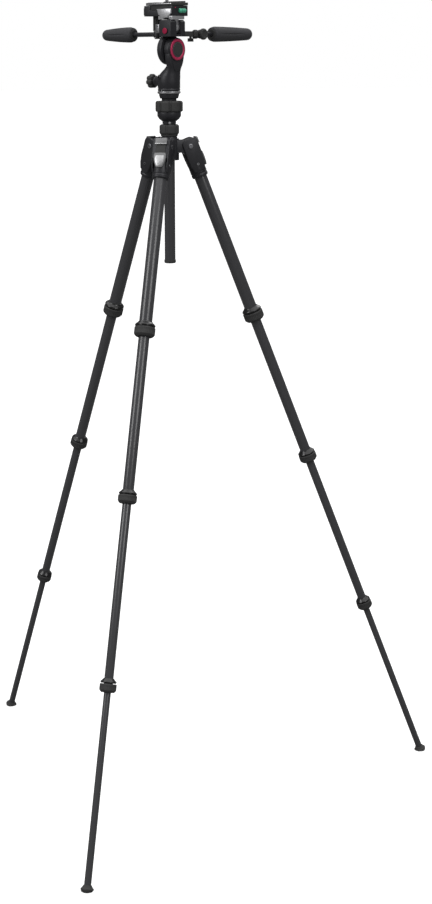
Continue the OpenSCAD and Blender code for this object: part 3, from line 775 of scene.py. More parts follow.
class TRIPOD_OT_castings(Piece):
    """Hinged leg castings, angle catches and pivot bolts"""

    bl_idname = "tripod.castings"
    bl_label = "Leg castings"

    def build(self):
        for n in LEGS:
            m = leg_frame(n)
            body = f"leg_{n}"
            low, high = local_box(f"leg_{n}_casting", m)
            socket = (high.x - low.x) / 2
            shell = self.shell(f"leg_{n}_casting_shell", m, low.z, socket)
            place(shell, body, "cast_black", f"leg_{n}_casting")
            knuckle = high.z - 0.1 * MM
            outline = [(-knuckle, -15 * MM), (knuckle, -15 * MM), *arc(0, 0, knuckle, 0, 180, 28)]
            wide = 7.45 * MM
            side = side_plane(m, -wide)
            place(plate_shape(f"leg_{n}_knuckle", outline, 2 * wide, side), body, "cast_black")
            self.cheeks(n, m, body)
            for i, drop in enumerate((3.5, 9.0)):
                z = low.z + drop * MM
                band = [
                    (socket - 0.6 * MM, z),
                    (socket + 0.35 * MM, z),
                    (socket + 0.35 * MM, z + 1.2 * MM),
                    (socket - 0.6 * MM, z + 1.2 * MM),
                ]
                place(turned(f"leg_{n}_casting_bead_{i}", band, m, 64, 0.3 * MM), body, "cast_black")
            for i, way in enumerate((-1, 1)):
                side = along((way * (socket - 0.4 * MM), -1 * MM, -34 * MM), (way, 0, 0), m)
                screw = socket_screw(f"leg_{n}_casting_screw_{i}", side, 2.5 * MM, 1.5 * MM)
                place(screw, body, "bolt_steel")
            self.catch(n, m)
            self.bolts(n)

    def cheeks(self, n, m, body):
        """Side plates outside the pivot ears, and the curved front wall between them."""
        front, back, crown = -15.4 * MM, 13.2 * MM, 13.4 * MM
        outline = [
            (front, -22 * MM), (-13.8 * MM, -36 * MM), (-10 * MM, -47 * MM), (9 * MM, -47 * MM), (
                12.4 * MM, -36 * MM
            ),
            (back, -22 * MM), (back, 2 * MM), *arc(back - 8 * MM, crown - 8 * MM, 8 * MM, 0, 90, 10),
            *arc(front + 8.5 * MM, crown - 8.5 * MM, 8.5 * MM, 90, 180, 10),
        ]
        for i, x in enumerate((-15.3, 13.0)):
            side = side_plane(m, x * MM)
            cheek = plate_shape(f"leg_{n}_cheek_{i}", outline, 2.3 * MM, side, 0.9 * MM)
            back_to_leg = m.inverted()
            for v in cheek.data.vertices:
                p = back_to_leg @ v.co
                if p.z < -20 * MM:
                    p.x -= math.copysign((-20 * MM - p.z) * 0.045, x)
                    v.co = m @ p
            place(cheek, body, "cast_black")
        bend = arc(front + 8.5 * MM, crown - 8.5 * MM, 8.3 * MM, 180, 128, 8)
        inner = arc(front + 8.5 * MM, crown - 8.5 * MM, 7.0 * MM, 128, 180, 8)
        wall = [(front + 0.2 * MM, -24 * MM), *bend, *inner, (front + 1.6 * MM, -24 * MM)]
        side = side_plane(m, -13.4 * MM)
        place(plate_shape(f"leg_{n}_front_wall", wall[::-1], 26.8 * MM, side, 0.2 * MM), body, "cast_black")

    def shell(self, name, m, bottom, socket):
        """Socket and shoulders: round at the tube, squarer above, cut to clear the pivot ears."""
        clear = 13.6 * MM

        def top(y):
            if y < -clear:
                return 0.0
            return -math.sqrt(clear * clear - y * y) if y < 0 else -clear

        count = 96
        bore = tube_radius(1, 1) + 0.1 * MM
        sleeve = ((bore - 1.2 * MM, -16.6), (bore - 1.2 * MM, -20), (bore, -20), (bore, bottom / MM))
        rings = [[(x, y, z * MM) for x, y in oval(0, 0, r, r, 2, count)] for r, z in sleeve]
        heights = (
            (0, 1.3),
            (0.4, 0.6),
            (1.2, 0.2),
            (2.4, 0),
            (5.6, 0),
            (6.2, 0.5),
            (7.2, 0.5),
            (7.8, 0),
            (16, 0),
            (24, 0),
        )
        for rise, less in heights:
            r = socket - less * MM
            rings.append([(x, y, bottom + rise * MM) for x, y in oval(0, 0, r, r, 2, count)])
        for share in (0.15, 0.35, 0.6, 0.8, 0.93, 1.0):
            ease = share * share * (3 - 2 * share)
            hx, hy = socket * (1 + 0.005 * ease), socket * (1 + 0.06 * ease)
            start = bottom + 24 * MM
            ring = oval(0, 0, hx, hy, 2 + 1.3 * ease, count)
            rings.append([(x, y, start + (top(y) - start) * share) for x, y in ring])
        edge = rings[-1]
        for inset in (0.985, 0.9, 0.75, 0.55, 0.3, 0.05):
            lift = 0 if inset < 0.98 else 0.3 * MM
            rings.append([(x * inset, y * inset, top(y * inset) + lift) for x, y, z in edge])
        return lofted(name, rings, m, 50)

    def catch(self, n, m):
        name = f"leg_{n}_catch"
        low, high = local_box(name, m)
        front = low.y
        half = 10.6 * MM
        outline = [
            (-9.6 * MM, -15 * MM), (9.6 * MM, -15 * MM), (11 * MM, -19 * MM), (11 * MM, -25 * MM), (
                9.4 * MM, -32 * MM
            ),
            (6.4 * MM, -39.6 * MM), (4.4 * MM, -41.4 * MM), (-4.4 * MM, -41.4 * MM), (-6.4 * MM, -39.6 * MM),
            (-9.4 * MM, -32 * MM), (-11 * MM, -25 * MM), (-11 * MM, -19 * MM),
        ]
        face = m @ Matrix.Translation((0, front + 3.4 * MM, 0)) @ Matrix.Rotation(math.pi / 2, 4, "X")
        place(
            plate_shape(name + "_tongue", outline, 3.0 * MM, face, 1.2 * MM),
            name,
            "catch_pale",
            name,
            slot="catch_grey",
        )
        inner = [(x * 0.74, -20 * MM + (z + 15 * MM) * 0.72) for x, z in outline]
        raised = m @ Matrix.Translation((0, front + 0.6 * MM, 0)) @ Matrix.Rotation(math.pi / 2, 4, "X")
        place(plate_shape(name + "_face", inner, 0.8 * MM, raised, 0.35 * MM), name, "catch_grey")
        stem = block(
            name + "_stem", (-2.9 * MM, front + 2 * MM, -13.8 * MM), (2.9 * MM, high.y, -6.2 * MM), m
        )
        place(stem, name, "catch_grey")
        bridge = block(
            name + "_bridge", (-8.6 * MM, front + 1.8 * MM, -16 * MM), (8.6 * MM, front + 3.0 * MM, 3 * MM), m
        )
        place(bridge, name, "moulded_black", slot="catch_grey")
        low_z, high_z = 0.6 * MM, 11.5 * MM
        hood = block(
            name + "_hood", (-half, front - 0.2 * MM, low_z), (half, front + 2.8 * MM, high_z), m, 1.1 * MM
        )
        place(hood, name, "catch_pale", slot="catch_grey")
        lip = block(
            name + "_lip",
            (-half, front - 0.8 * MM, low_z - 0.6 * MM),
            (half, front + 1.4 * MM, low_z + 1.2 * MM),
            m,
            0.5 * MM,
        )
        place(lip, name, "catch_grey")

    def bolts(self, n):
        m = leg_frame(n)
        low, high = bolt_span(m)
        shaft = along((low, 0, 0), (1, 0, 0), m)
        pin = turned(
            f"pivot_pin_{n}",
            [(0, 2 * MM), (3 * MM, 2 * MM), (3 * MM, high - low - 2 * MM), (0, high - low - 2 * MM)],
            shaft,
            32,
        )
        place(pin, "spider", "bolt_steel", *(["pivot_bolts"] if n == 1 else []))
        for i, (x, way) in enumerate(((high - 0.4 * MM, 1), (low + 0.4 * MM, -1))):
            head = socket_screw(f"pivot_bolt_{n}_{i}", along((x, 0, 0), (way, 0, 0), m), 4.4 * MM, 1.3 * MM)
            place(head, "spider", "bolt_steel")


def bolt_span(m):
    """Ends of a leg's pivot bolt along its own axis, in the leg's frame m."""
    xs = [p.x for p in local_points("pivot_bolts", m) if math.hypot(p.y, p.z) < 8 * MM]
    return min(xs), max(xs)


class TRIPOD_OT_feet(Piece):
    """Dished rubber feet, flat where they meet the floor"""

    bl_idname = "tripod.feet"
    bl_label = "Feet"

    def build(self):
        for n in LEGS:
            m = leg_frame(n)
            name = f"leg_{n}_foot"
            low, high = local_box(name, m)
            outer = (high.x - low.x) / 2
            inner = tube_radius(n, 4) + 0.05 * MM
            end = m.inverted() @ Vector((*self.sole(n), 0))
            base = end.z - 5 * MM
            rim = outer + 1.0 * MM
            outline = [
                (0, base + 1.0 * MM),
                (rim - 6.5 * MM, base),
                (rim - 3.4 * MM, base + 1.2 * MM),
                (rim - 1.4 * MM, base + 3.6 * MM),
                (rim, base + 7.2 * MM),
                (rim - 0.2 * MM, base + 8.6 * MM),
                (rim - 1.6 * MM, base + 9.4 * MM),
                (inner + 2.2 * MM, base + 11.2 * MM),
                (inner + 1.0 * MM, base + 13.6 * MM),
                (inner, base + 14 * MM),
                (inner, base + 12 * MM),
                (0, base + 12 * MM),
            ]
            piece = turned(name + "_rubber", outline, m, 64, 0.8 * MM)
            for v in piece.data.vertices:
                v.co.z = max(v.co.z, 0.0)
            place(piece, f"leg_{n}_section_4", "foot_rubber", name)

    def sole(self, n):
        """Where the leg's axis meets the floor."""
        spot = next(x for x in frame["record"]["mounts"] if x["name"] == f"foot_{n}")["pos_m"]
        return spot[0], spot[1]


# ---------------------------------------------------------------- column


class TRIPOD_OT_column(Piece):
    """Spider, guide bush, column, bottom cap and lock collar"""

    bl_idname = "tripod.column"
    bl_label = "Column"

    def build(self):
        skin("spider", "shell", "spider", "cast_black", looks().edge_soft * 1.2)
        self.bush()
        low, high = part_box("column_tube")
        r = (high.x - low.x) / 2
        tube = turned(
            "column_carbon",
            [(r - 1.5 * MM, high.z), (r, high.z), (r, low.z), (r - 1.5 * MM, low.z)],
            WORLD,
            64,
            0.2 * MM,
        )
        place(tube, "column", "carbon_tube", "column_tube")
        low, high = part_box("column_cap")
        outer = (high.x - low.x) / 2
        inner = r - 1.55 * MM
        cap = [
            (0, low.z + 0.8 * MM), (outer - 5 * MM, low.z + 0.8 * MM), (outer - 4.4 * MM, low.z), (
                outer - 1.2 * MM, low.z
            ),
            (outer, low.z + 1.5 * MM), (outer, low.z + 6 * MM), (inner, low.z + 6 * MM), (inner, high.z), (
                0, high.z
            ),
        ]
        piece = turned(
            "column_cap_plug",
            cap,
            WORLD,
            96,
            0.5 * MM,
            ribs(24, 0.35 * MM, low.z + 1.6 * MM, low.z + 5.4 * MM),
        )
        place(piece, "column", "moulded_black", "column_cap")
        low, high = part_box("column_collar")
        outer = (high.x - low.x) / 2
        collar = [
            (r + 0.4 * MM, low.z), (outer - 3.4 * MM, low.z), (outer - 2.4 * MM, low.z + 0.8 * MM),
            (outer - 2.2 * MM, low.z + 3.6 * MM), (outer - 0.6 * MM, low.z + 4.8 * MM), (
                outer, low.z + 6.4 * MM
            ),
            (outer, high.z - 3.4 * MM), (outer - 0.8 * MM, high.z - 1.4 * MM), (outer - 3.2 * MM, high.z),
            (r + 0.4 * MM, high.z),
        ]

        def lobes(angle, r, z):
            if r < outer - 3.5 * MM or z < low.z + 4 * MM:
                return r
            turn = (angle * 6 / (2 * math.pi)) % 1.0
            return r - 1.9 * MM * max(0.0, 1 - (abs(turn - 0.5) / 0.16) ** 4)

        piece = turned("column_collar_grip", collar, WORLD, 180, 0.5 * MM, lobes, 50)
        place(piece, "column_collar", "ribbed_plastic", "column_collar")

    def bush(self):
        low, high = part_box("column_bush")
        outer = (high.x - low.x) / 2
        inner = reach("column_tube", WORLD, 0, 2) + 0.05 * MM
        outline = [(inner, low.z), (outer, low.z), (outer, high.z), (inner, high.z)]
        place(turned("column_bush_sleeve", outline, WORLD, 64), "spider", "bearing_plastic", "column_bush")


class TRIPOD_OT_levelling(Piece):
    """Bowl, ribbed ring, saddle, ball and the graduated pan scale"""

    bl_idname = "tripod.levelling"
    bl_label = "Levelling joint"

    def build(self):
        skin("level_bowl", "shell", "column", "cast_black", 0.5 * MM)
        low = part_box("level_bowl")[0]
        seat = along((0, -12.2 * MM, low.z + 2.3 * MM), (0, -1, 0), Matrix.Rotation(math.radians(20), 4, "Z"))
        place(socket_screw("level_bowl_screw", seat, 1.9 * MM, 0.8 * MM), "column", "bright_alloy")
        self.ring()
        skin("level_saddle", "cup", "level_saddle", "bearing_plastic", 0.2 * MM, 2)
        skin("level_ball", "shell", "level_ball", "cast_black", 0.7 * MM)
        self.scale()

    def ring(self):
        low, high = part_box("level_ring")
        outer = reach("level_ring", WORLD, low.z, high.z)
        inner = min(math.hypot(p.x, p.y) for p in local_points("level_ring", WORLD))
        seat = min(math.hypot(p.x, p.y) for p in local_points("level_ring", WORLD) if p.z < low.z + MM)
        outline = [
            (seat, low.z), (outer - 2 * MM, low.z), (outer - 0.6 * MM, low.z + 0.8 * MM), (
                outer, low.z + 2.4 * MM
            ),
            (outer, low.z + 3 * MM), (outer, high.z - 3.6 * MM), (outer, high.z - 3 * MM), (
                outer - 0.8 * MM, high.z - 1 * MM
            ),
            (outer - 2.6 * MM, high.z), (inner, high.z), (inner, high.z - 3.2 * MM), (seat, high.z - 8 * MM),
        ]

        def lobes(angle, r, z):
            if r < outer - 3.2 * MM:
                return r
            turn = (angle * 8 / (2 * math.pi) + 0.5) % 1.0 - 0.5
            groove = max(0.0, 1 - (abs(abs(turn) - 0.5) / 0.17) ** 4)
            return r - 3.0 * MM * groove

        piece = turned("level_ring_grip", outline, WORLD, 240, 0.5 * MM, lobes, 50)
        place(piece, "level_ring", "ribbed_plastic", "level_ring")

    def scale(self):
        low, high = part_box("pan_scale")
        r = (high.x - low.x) / 2
        bore = 4.8 * MM
        outline = [
            (bore, low.z), (r - 0.8 * MM, low.z), (r, low.z + 0.7 * MM), (r, high.z - 0.5 * MM), (
                r - 0.5 * MM, high.z
            ),
            (bore, high.z),
        ]
        place(turned("pan_scale_dial", outline, WORLD, 96, 0.3 * MM), "level_ball", "dial_grey", "pan_scale")
        marks = []
        for i in range(72):
            tall = 2.4 * MM if i % 6 == 0 else 1.3 * MM
            m = Matrix.Rotation(math.radians(i * 5), 4, "Z")
            z = low.z + 0.9 * MM
            marks.append(
                block(
                    "mark",
                    (r - 0.2 * MM, -0.17 * MM, z),
                    (r + 0.06 * MM, 0.17 * MM, z + tall),
                    m,
                    0.03 * MM,
                    1,
                ),
            )
        place(joined("pan_scale_marks", marks), "level_ball", "mark_white", slot="dial_grey")


# ---------------------------------------------------------------- head


class TRIPOD_OT_head(Piece):
    """Turning base, pan knob, red ring, tilting block and its shafts"""

    bl_idname = "tripod.head"
    bl_label = "Pan and tilt head"

    def build(self):
        soft = looks().edge_soft
        self.tilt = HEAD.inverted() @ Vector(JOINTS["head_tilt"]["pos_m"])
        self.base()
        self.pan_knob()
        self.ring()
        self.block(soft)

    def base(self):
        low, high = local_box("head_base")
        z0 = low.z
        top = self.tilt.z - z0
        plan = (
            (0.0, 0, 18.9, 18.9, 2), (0.5, 0, 19.4, 19.4, 2), (3.2, 0, 19.5, 19.5, 2), (
                3.9, 0, 19.0, 19.0, 2
            ),
            (4.7, 0, 19.0, 19.0, 2), (5.4, 0, 19.5, 19.5, 2), (18.0, 0, 19.5, 19.5, 2), (
                24.0, 0.6, 19.1, 19.2, 2.1
            ),
            (29.0, 2.4, 17.2, 17.8, 2.2), (33.5, 5.2, 14.4, 16.2, 2.4), (38.0, 8.6, 11.4, 15.4, 2.6),
            (42.0, 11.6, 8.6, 15.6, 3.0), (44.5, 13.0, 7.0, 16.4, 3.6), (50.0, 13.0, 7.0, 18.2, 4.5),
            (58.0, 13.0, 7.0, 19.8, 5), (66.0, 13.0, 7.0, 19.6, 5), (top, 13.0, 6.9, 18.0, 5),
        )
        rings = []
        for rise, cx, hx, hy, power in plan:
            z = z0 + (rise * MM if rise < 70 else rise)
            rings.append([(x, y, z) for x, y in oval(cx * MM, 0, hx * MM, hy * MM, power, 96)])
        rings[-1] = [(x, y, self.tilt.z) for x, y, z in rings[-1]]
        place(lofted("head_base_shell", rings, HEAD, 50), "head_base", "cast_black", "head_base")
        r = 21 * MM
        wide = 14 * MM
        arm = [
            (0, 0), (r - 1.6 * MM, 0), (r, 1.6 * MM), (r, wide - 3.2 * MM), (r - 2.6 * MM, wide), (0, wide)
        ]
        m = along((6 * MM, 0, self.tilt.z), (1, 0, 0))
        place(turned("head_base_arm", arm, m, 128, 1.2 * MM), "head_base", "cast_black")
        knob = HEAD.inverted() @ Vector(JOINTS["pan_knob_turn"]["pos_m"])
        m = along((low.x, 0, knob.z), (1, 0, 0))
        boss = [
            (0, 0), (6.6 * MM, 0), (8 * MM, 1.2 * MM), (8 * MM, 6 * MM), (8.8 * MM, 8 * MM),
            (10.5 * MM, 20 * MM), (0, 20 * MM),
        ]
        place(turned("head_base_boss", boss, m, 64, 0.5 * MM), "head_base", "cast_black")
        face = high.x
        panel = [
            (-5.5 * MM, -20 * MM), (5.5 * MM, -20 * MM), (8 * MM, -17 * MM), (11.5 * MM, -6 * MM),
            (-11.5 * MM, -6 * MM), (-8 * MM, -17 * MM),
        ]
        outline = [(x, y + self.tilt.z - 17 * MM) for x, y in panel]
        m = side_plane(HEAD, face - 0.5 * MM)
        place(plate_shape("head_base_panel", outline, 0.9 * MM, m, 0.4 * MM), "head_base", "cast_black")
        seat = along((-6 * MM, -17.6 * MM, low.z + 24 * MM), (-0.33, -0.94, 0))
        place(socket_screw("head_base_screw", seat, 4.2 * MM, 2.2 * MM), "head_base", "cast_black")
        z = low.z + 0.4 * MM
        pointer = [(3.0 * MM, 0), (0, 0.5 * MM), (0, -0.5 * MM)]
        m = along((0, -19.5 * MM, z), (0, -1, 0))
        arrow = plate_shape("pan_pointer", pointer, 0.12 * MM, m, 0.02 * MM)
        place(arrow, "head_base", "mark_white", slot="dial_grey")

    def pan_knob(self):
        low, high = local_box("pan_knob")
        centre = HEAD.inverted() @ Vector(JOINTS["pan_knob_turn"]["pos_m"])
        outer = (high.z - low.z) / 2
        m = along((low.x, 0, centre.z), (1, 0, 0))
        thick = 11.5 * MM
        outline = [
            (0, 0.9 * MM), (outer - 6 * MM, 0.9 * MM), (outer - 5.4 * MM, 0), (outer - 2.4 * MM, 0), (
                outer - 0.6 * MM, 1.2 * MM
            ),
            (outer, 3.2 * MM), (outer, thick - 3 * MM), (outer - 1 * MM, thick - 1 * MM), (
                outer - 3.5 * MM, thick
            ),
            (3 * MM, thick), (3 * MM, high.x - low.x), (0, high.x - low.x),
        ]

        def lobes(angle, r, z):
            if r < outer - 5 * MM:
                return r
            return r - 1.9 * MM * (0.5 - 0.5 * math.cos(7 * angle)) ** 2.2

        piece = turned("pan_knob_grip", outline, m, 210, 0.6 * MM, lobes, 50)
        place(piece, "pan_knob", "ribbed_plastic", "pan_knob")

    def ring(self):
        low, high = local_box("tilt_ring")
        outer = (high.z - low.z) / 2
        inner = min(math.hypot(p.y, p.z - self.tilt.z) for p in local_points("tilt_ring", HEAD))
        m = along((low.x, 0, self.tilt.z), (1, 0, 0))
        t = high.x - low.x
        outline = [
            (inner, 0), (outer, 0), (outer, t * 0.5), (outer - 0.9 * MM, t), (inner + 1.1 * MM, t), (
                inner, t * 0.45
            ),
        ]
        place(turned("tilt_ring_band", outline, m, 128, 0.25 * MM), "head_base", "crimson_ring", "tilt_ring")
        rim = [
            (outer + 0.2 * MM, 0), (outer + 1.6 * MM, 0), (outer + 1.3 * MM, 0.7 * MM), (
                outer + 0.2 * MM, 0.5 * MM
            ),
        ]
        place(turned("tilt_ring_seat", rim, m, 128, 0.2 * MM), "head_base", "cast_black")

    def block(self, soft):
        skin("tilt_body", "shell", "tilt", "cast_black", soft * 1.5, 4)
        skin("head_shafts", "steel", "tilt", "bolt_steel", 0.5 * MM)
        low, high = local_box("head_shafts")
        m = along((high.x - 0.1 * MM, 0, self.tilt.z), (1, 0, 0))
        for i, r in enumerate((5.5 * MM, 9.5 * MM)):
            outline = [(r, 0), (r + 0.6 * MM, 0), (r + 0.6 * MM, 0.3 * MM), (r, 0.3 * MM)]
            place(turned(f"shaft_cap_ring_{i}", outline, m, 96, 0.1 * MM), "tilt", "cast_black")
        cap = [(0, 0), (11.6 * MM, 0), (11.6 * MM, 0.25 * MM), (0, 0.35 * MM)]
        place(turned("shaft_cap_disc", cap, m, 96, 0.1 * MM), "tilt", "moulded_black")
        low, high = local_box("tilt_body")
        m = along((low.x + 0.2 * MM, 0, self.tilt.z), (-1, 0, 0))
        for i, r in enumerate((12 * MM, 22.5 * MM)):
            outline = [(r, -0.4 * MM), (r + 1.2 * MM, -0.4 * MM), (r + 1.2 * MM, 0.5 * MM), (r, 0.5 * MM)]
            place(turned(f"drum_ring_{i}", outline, m, 128, 0.3 * MM), "tilt", "cast_black")
        spot = HEAD.inverted() @ Vector(JOINTS["head_roll"]["pos_m"])
        m = along((spot.x + 1.3 * MM, low.y + 0.2 * MM, spot.z - 5.5 * MM), (0, -1, 0))
        dot = [(0, 0), (5.2 * MM, 0), (5.2 * MM, 0.4 * MM), (4.4 * MM, 0.8 * MM), (0, 0.9 * MM)]
        place(turned("block_dot", dot, m, 64, 0.2 * MM), "tilt", "dot_red", slot="crimson_ring")
        skin("side_cover", "plate", "tilt", "dial_grey", 1.2 * MM)
        low, high = local_box("side_cover")
        for i in range(2):
            z = low.z + 3.2 * MM + i * (high.z - low.z - 6.4 * MM)
            seat = along((low.x + 5 * MM, low.y + 0.1 * MM, z), (0, -1, 0))
            place(socket_screw(f"side_cover_screw_{i}", seat, 1.6 * MM, 0.9 * MM), "tilt", "bolt_steel")


class TRIPOD_OT_handles(Piece):
    """Both folding handles: forks, rods, knobs and fluted grips"""

    bl_idname = "tripod.handles"
    bl_label = "Handles"

    def build(self):
        skin("rear_bracket", "fork", "tilt", "moulded_black", 0.8 * MM)
        self.knob()
        skin("rear_rod", "steel", "rear_rod", "cast_black", 0.4 * MM, slot="bolt_steel")
        skin("side_rod", "steel", "side_rod", "cast_black", 0.4 * MM, slot="bolt_steel")
        skin("side_post", "shell", "roll", "moulded_black", 0.3 * MM, 2)
        fold = HEAD.inverted() @ Vector(JOINTS["rear_handle_fold"]["pos_m"])
        low, high = local_box("rear_grip")
        self.grip(
            "rear_grip", along((fold.x, low.y, fold.z), (0, 1, 0)), high.y - low.y, (high.z - low.z) / 2
        )
        low, high = local_box("side_grip")
        self.grip("side_grip", along((high.x, 0, fold.z), (-1, 0, 0)), high.x - low.x, (high.z - low.z) / 2)

    def knob(self):
        low, high = local_box("rear_knob")
        fold = HEAD.inverted() @ Vector(JOINTS["rear_handle_fold"]["pos_m"])
        outer = (high.z - low.z) / 2
        length = high.x - low.x
        m = along((low.x, fold.y, fold.z), (1, 0, 0))
        face = length - 7 * MM
        outline = [
            (0, 0), (3 * MM, 0), (3 * MM, face), (outer - 2 * MM, face), (outer, face + 1.6 * MM), (
                outer, length - 1.8 * MM
            ),
            (outer - 1.8 * MM, length), (outer - 4 * MM, length), (outer - 4.6 * MM, length - 0.8 * MM), (
                0, length - 0.8 * MM
            ),
        ]
        shape = ribs(20, 0.7 * MM, face + 1.0 * MM, length - 1.0 * MM, 0.6)
        piece = turned("rear_knob_grip", outline, m, 160, 0.4 * MM, shape, 50)
        place(piece, "rear_knob", "ribbed_plastic", "rear_knob")

    def grip(self, name, m, length, radius):
        end = radius * (0.8 if name == "rear_grip" else 0.74)
        rod = 4.05 * MM
        steps = 30
        cap = radius * 0.75
        outline = [
            (rod, 1.8 * MM), (radius * 0.62, 1.2 * MM), (radius * 0.78, 1.0 * MM), (radius * 0.9, 2.4 * MM),
            (radius * 0.93, 4.0 * MM), (radius * 0.9, 5.0 * MM), (radius * 0.93, 6.0 * MM), (
                radius, 8.4 * MM
            ),
        ]
        for i in range(steps + 1):
            t = i / steps
            outline.append((radius - (radius - end) * t**1.6, 10 * MM + t * (length - 10 * MM - cap)))
        for i in range(1, 10):
            a = i / 10 * math.pi / 2
            outline.append((end * math.cos(a) ** 0.8, length - cap * (1 - math.sin(a))))
        outline += [(0, length), (0, 16 * MM), (rod, 16 * MM)]

        def flutes(angle, r, z):
            t = (z - 12 * MM) / (length * 0.62)
            if r < rod + MM or not 0 < t < 1:
                return r
            window = math.sin(math.pi * t) ** 0.6
            line = abs((angle * 6 / (2 * math.pi)) % 1.0 - 0.5) * 2
            return r - 1.1 * MM * window * max(0.0, 1 - (line / 0.26) ** 2)

        piece = turned(name + "_rubber", outline, m, 192, 0, flutes, 50)
        place(piece, name, "grip_rubber", name)
        collar = [
            (rod + 0.1 * MM, 0.2 * MM), (radius * 0.6, 0.2 * MM), (radius * 0.72, 0.9 * MM), (
                radius * 0.72, 2.2 * MM
            ),
            (rod + 0.1 * MM, 2.2 * MM),
        ]
        place(turned(name + "_collar", collar, m, 64, 0.3 * MM), name, "moulded_black", slot="grip_rubber")


class TRIPOD_OT_platform(Piece):
    """Bright cradle, plate clamp, lever and bubble level"""

    bl_idname = "tripod.platform"
    bl_label = "Roll platform"

    def build(self):
        skin("roll_cradle", "alloy", "roll", "bright_alloy", 0.9 * MM)
        skin("clamp", "shell", "roll", "cast_black", looks().edge_soft * 2.6, 4)
        skin("clamp_lever", "arm", "clamp_lever", "moulded_black", 1.4 * MM, 4)
        low, high = local_box("clamp_lever")
        for i in range(6):
            y = high.y - (3 + i * 1.8) * MM
            rib = block(
                f"clamp_lever_rib_{i}",
                (low.x - 0.35 * MM, y, low.z + 2 * MM),
                (low.x + 0.5 * MM, y + 0.8 * MM, high.z - 2 * MM),
                HEAD,
                0.3 * MM,
            )
            place(rib, "clamp_lever", "moulded_black")
        self.level()
        low, high = local_box("clamp")
        mark = block(
            "clamp_mark",
            (high.x - 0.3 * MM, low.y + 8 * MM, high.z - 4.5 * MM),
            (high.x + 0.15 * MM, low.y + 10.4 * MM, high.z - 2.6 * MM),
            HEAD,
            0.1 * MM,
        )
        place(mark, "roll", "crimson_ring")

    def level(self):
        low, high = local_box("bubble_level")
        r = (high.z - low.z) / 2
        m = along(((low.x + high.x) / 2, low.y, (low.z + high.z) / 2), (0, 1, 0))
        length = high.y - low.y
        vial = [(0, 0), (r * 0.7, 0), (r, 1.4 * MM), (r, length - 1.4 * MM), (r * 0.7, length), (0, length)]
        place(turned("bubble_level_vial", vial, m, 48, 0.6 * MM), "roll", "level_green", "bubble_level")
        for i, share in enumerate((0.36, 0.64)):
            z = length * share
            line = [
                (r - 0.1 * MM, z - 0.2 * MM), (r + 0.08 * MM, z - 0.2 * MM), (r + 0.08 * MM, z + 0.2 * MM),
                (r - 0.1 * MM, z + 0.2 * MM),
            ]
            place(
                turned(f"bubble_level_line_{i}", line, m, 48, 0), "roll", "moulded_black", slot="level_green"
            )


class TRIPOD_OT_plate(Piece):
    """Camera plate with ribbed rubber pads, and the threaded camera screw"""

    bl_idname = "tripod.plate"
    bl_label = "Camera plate"

    def build(self):
        skin("camera_plate", "body", "camera_plate", "moulded_black", 0.7 * MM)
        low, high = local_box("camera_plate")
        centre = HEAD.inverted() @ Vector(JOINTS["camera_screw_turn"]["pos_m"])
        top = centre.z
        pads = []
        for side in (-1, 1):
            for i in range(9):
                x0 = centre.x + side * (8.5 + i * 2.4) * MM
                pads.append(
                    block(
                        "pad",
                        (x0 - 0.7 * MM, low.y + 2.5 * MM, top - 0.3 * MM),
                        (x0 + 0.7 * MM, high.y - 4.5 * MM, top + 0.7 * MM),
                        HEAD,
                        0.35 * MM,
                        2,
                    ),
                )
        place(joined("camera_plate_pads", pads), "camera_plate", "rubber_pad", slot="moulded_black")
        trim = block(
            "camera_plate_trim",
            (low.x + 1.5 * MM, low.y - 0.25 * MM, top - 2.6 * MM),
            (high.x - 1.5 * MM, low.y + 0.6 * MM, top - 1.3 * MM),
            HEAD,
            0.3 * MM,
        )
        place(trim, "camera_plate", "bright_alloy")
        self.screw(centre)

    def screw(self, centre):
        low, high = local_box("camera_screw")
        m = HEAD @ Matrix.Translation((centre.x, centre.y, 0))
        radius = 3.175 * MM
        pitch = 1.27 * MM
        rows = 56
        start, end = low.z + 3.2 * MM, high.z
        outline = [
            (0, low.z), (7.6 * MM, low.z), (8 * MM, low.z + 0.4 * MM), (8 * MM, start - 0.4 * MM),
            (7.6 * MM, start), (radius - 0.35 * MM, start),
        ]
        thread = centre.z - 0.4 * MM
        outline.append((radius - 0.35 * MM, thread))
        outline += [(radius, thread + (end - thread) * i / rows) for i in range(rows)]
        outline += [(radius - 0.7 * MM, end), (0, end)]

        def threads(angle, r, z):
            if not thread < z < end or r < radius - 0.1 * MM:
                return r
            phase = (z / pitch - angle / (2 * math.pi)) % 1.0
            return r - 0.55 * MM * abs(phase * 2 - 1)

        place(
            turned("camera_screw_steel", outline, m, 64, 0, threads, 60),
            "camera_screw",
            "bolt_steel",
            "camera_screw",
        )


# ---------------------------------------------------------------- stage


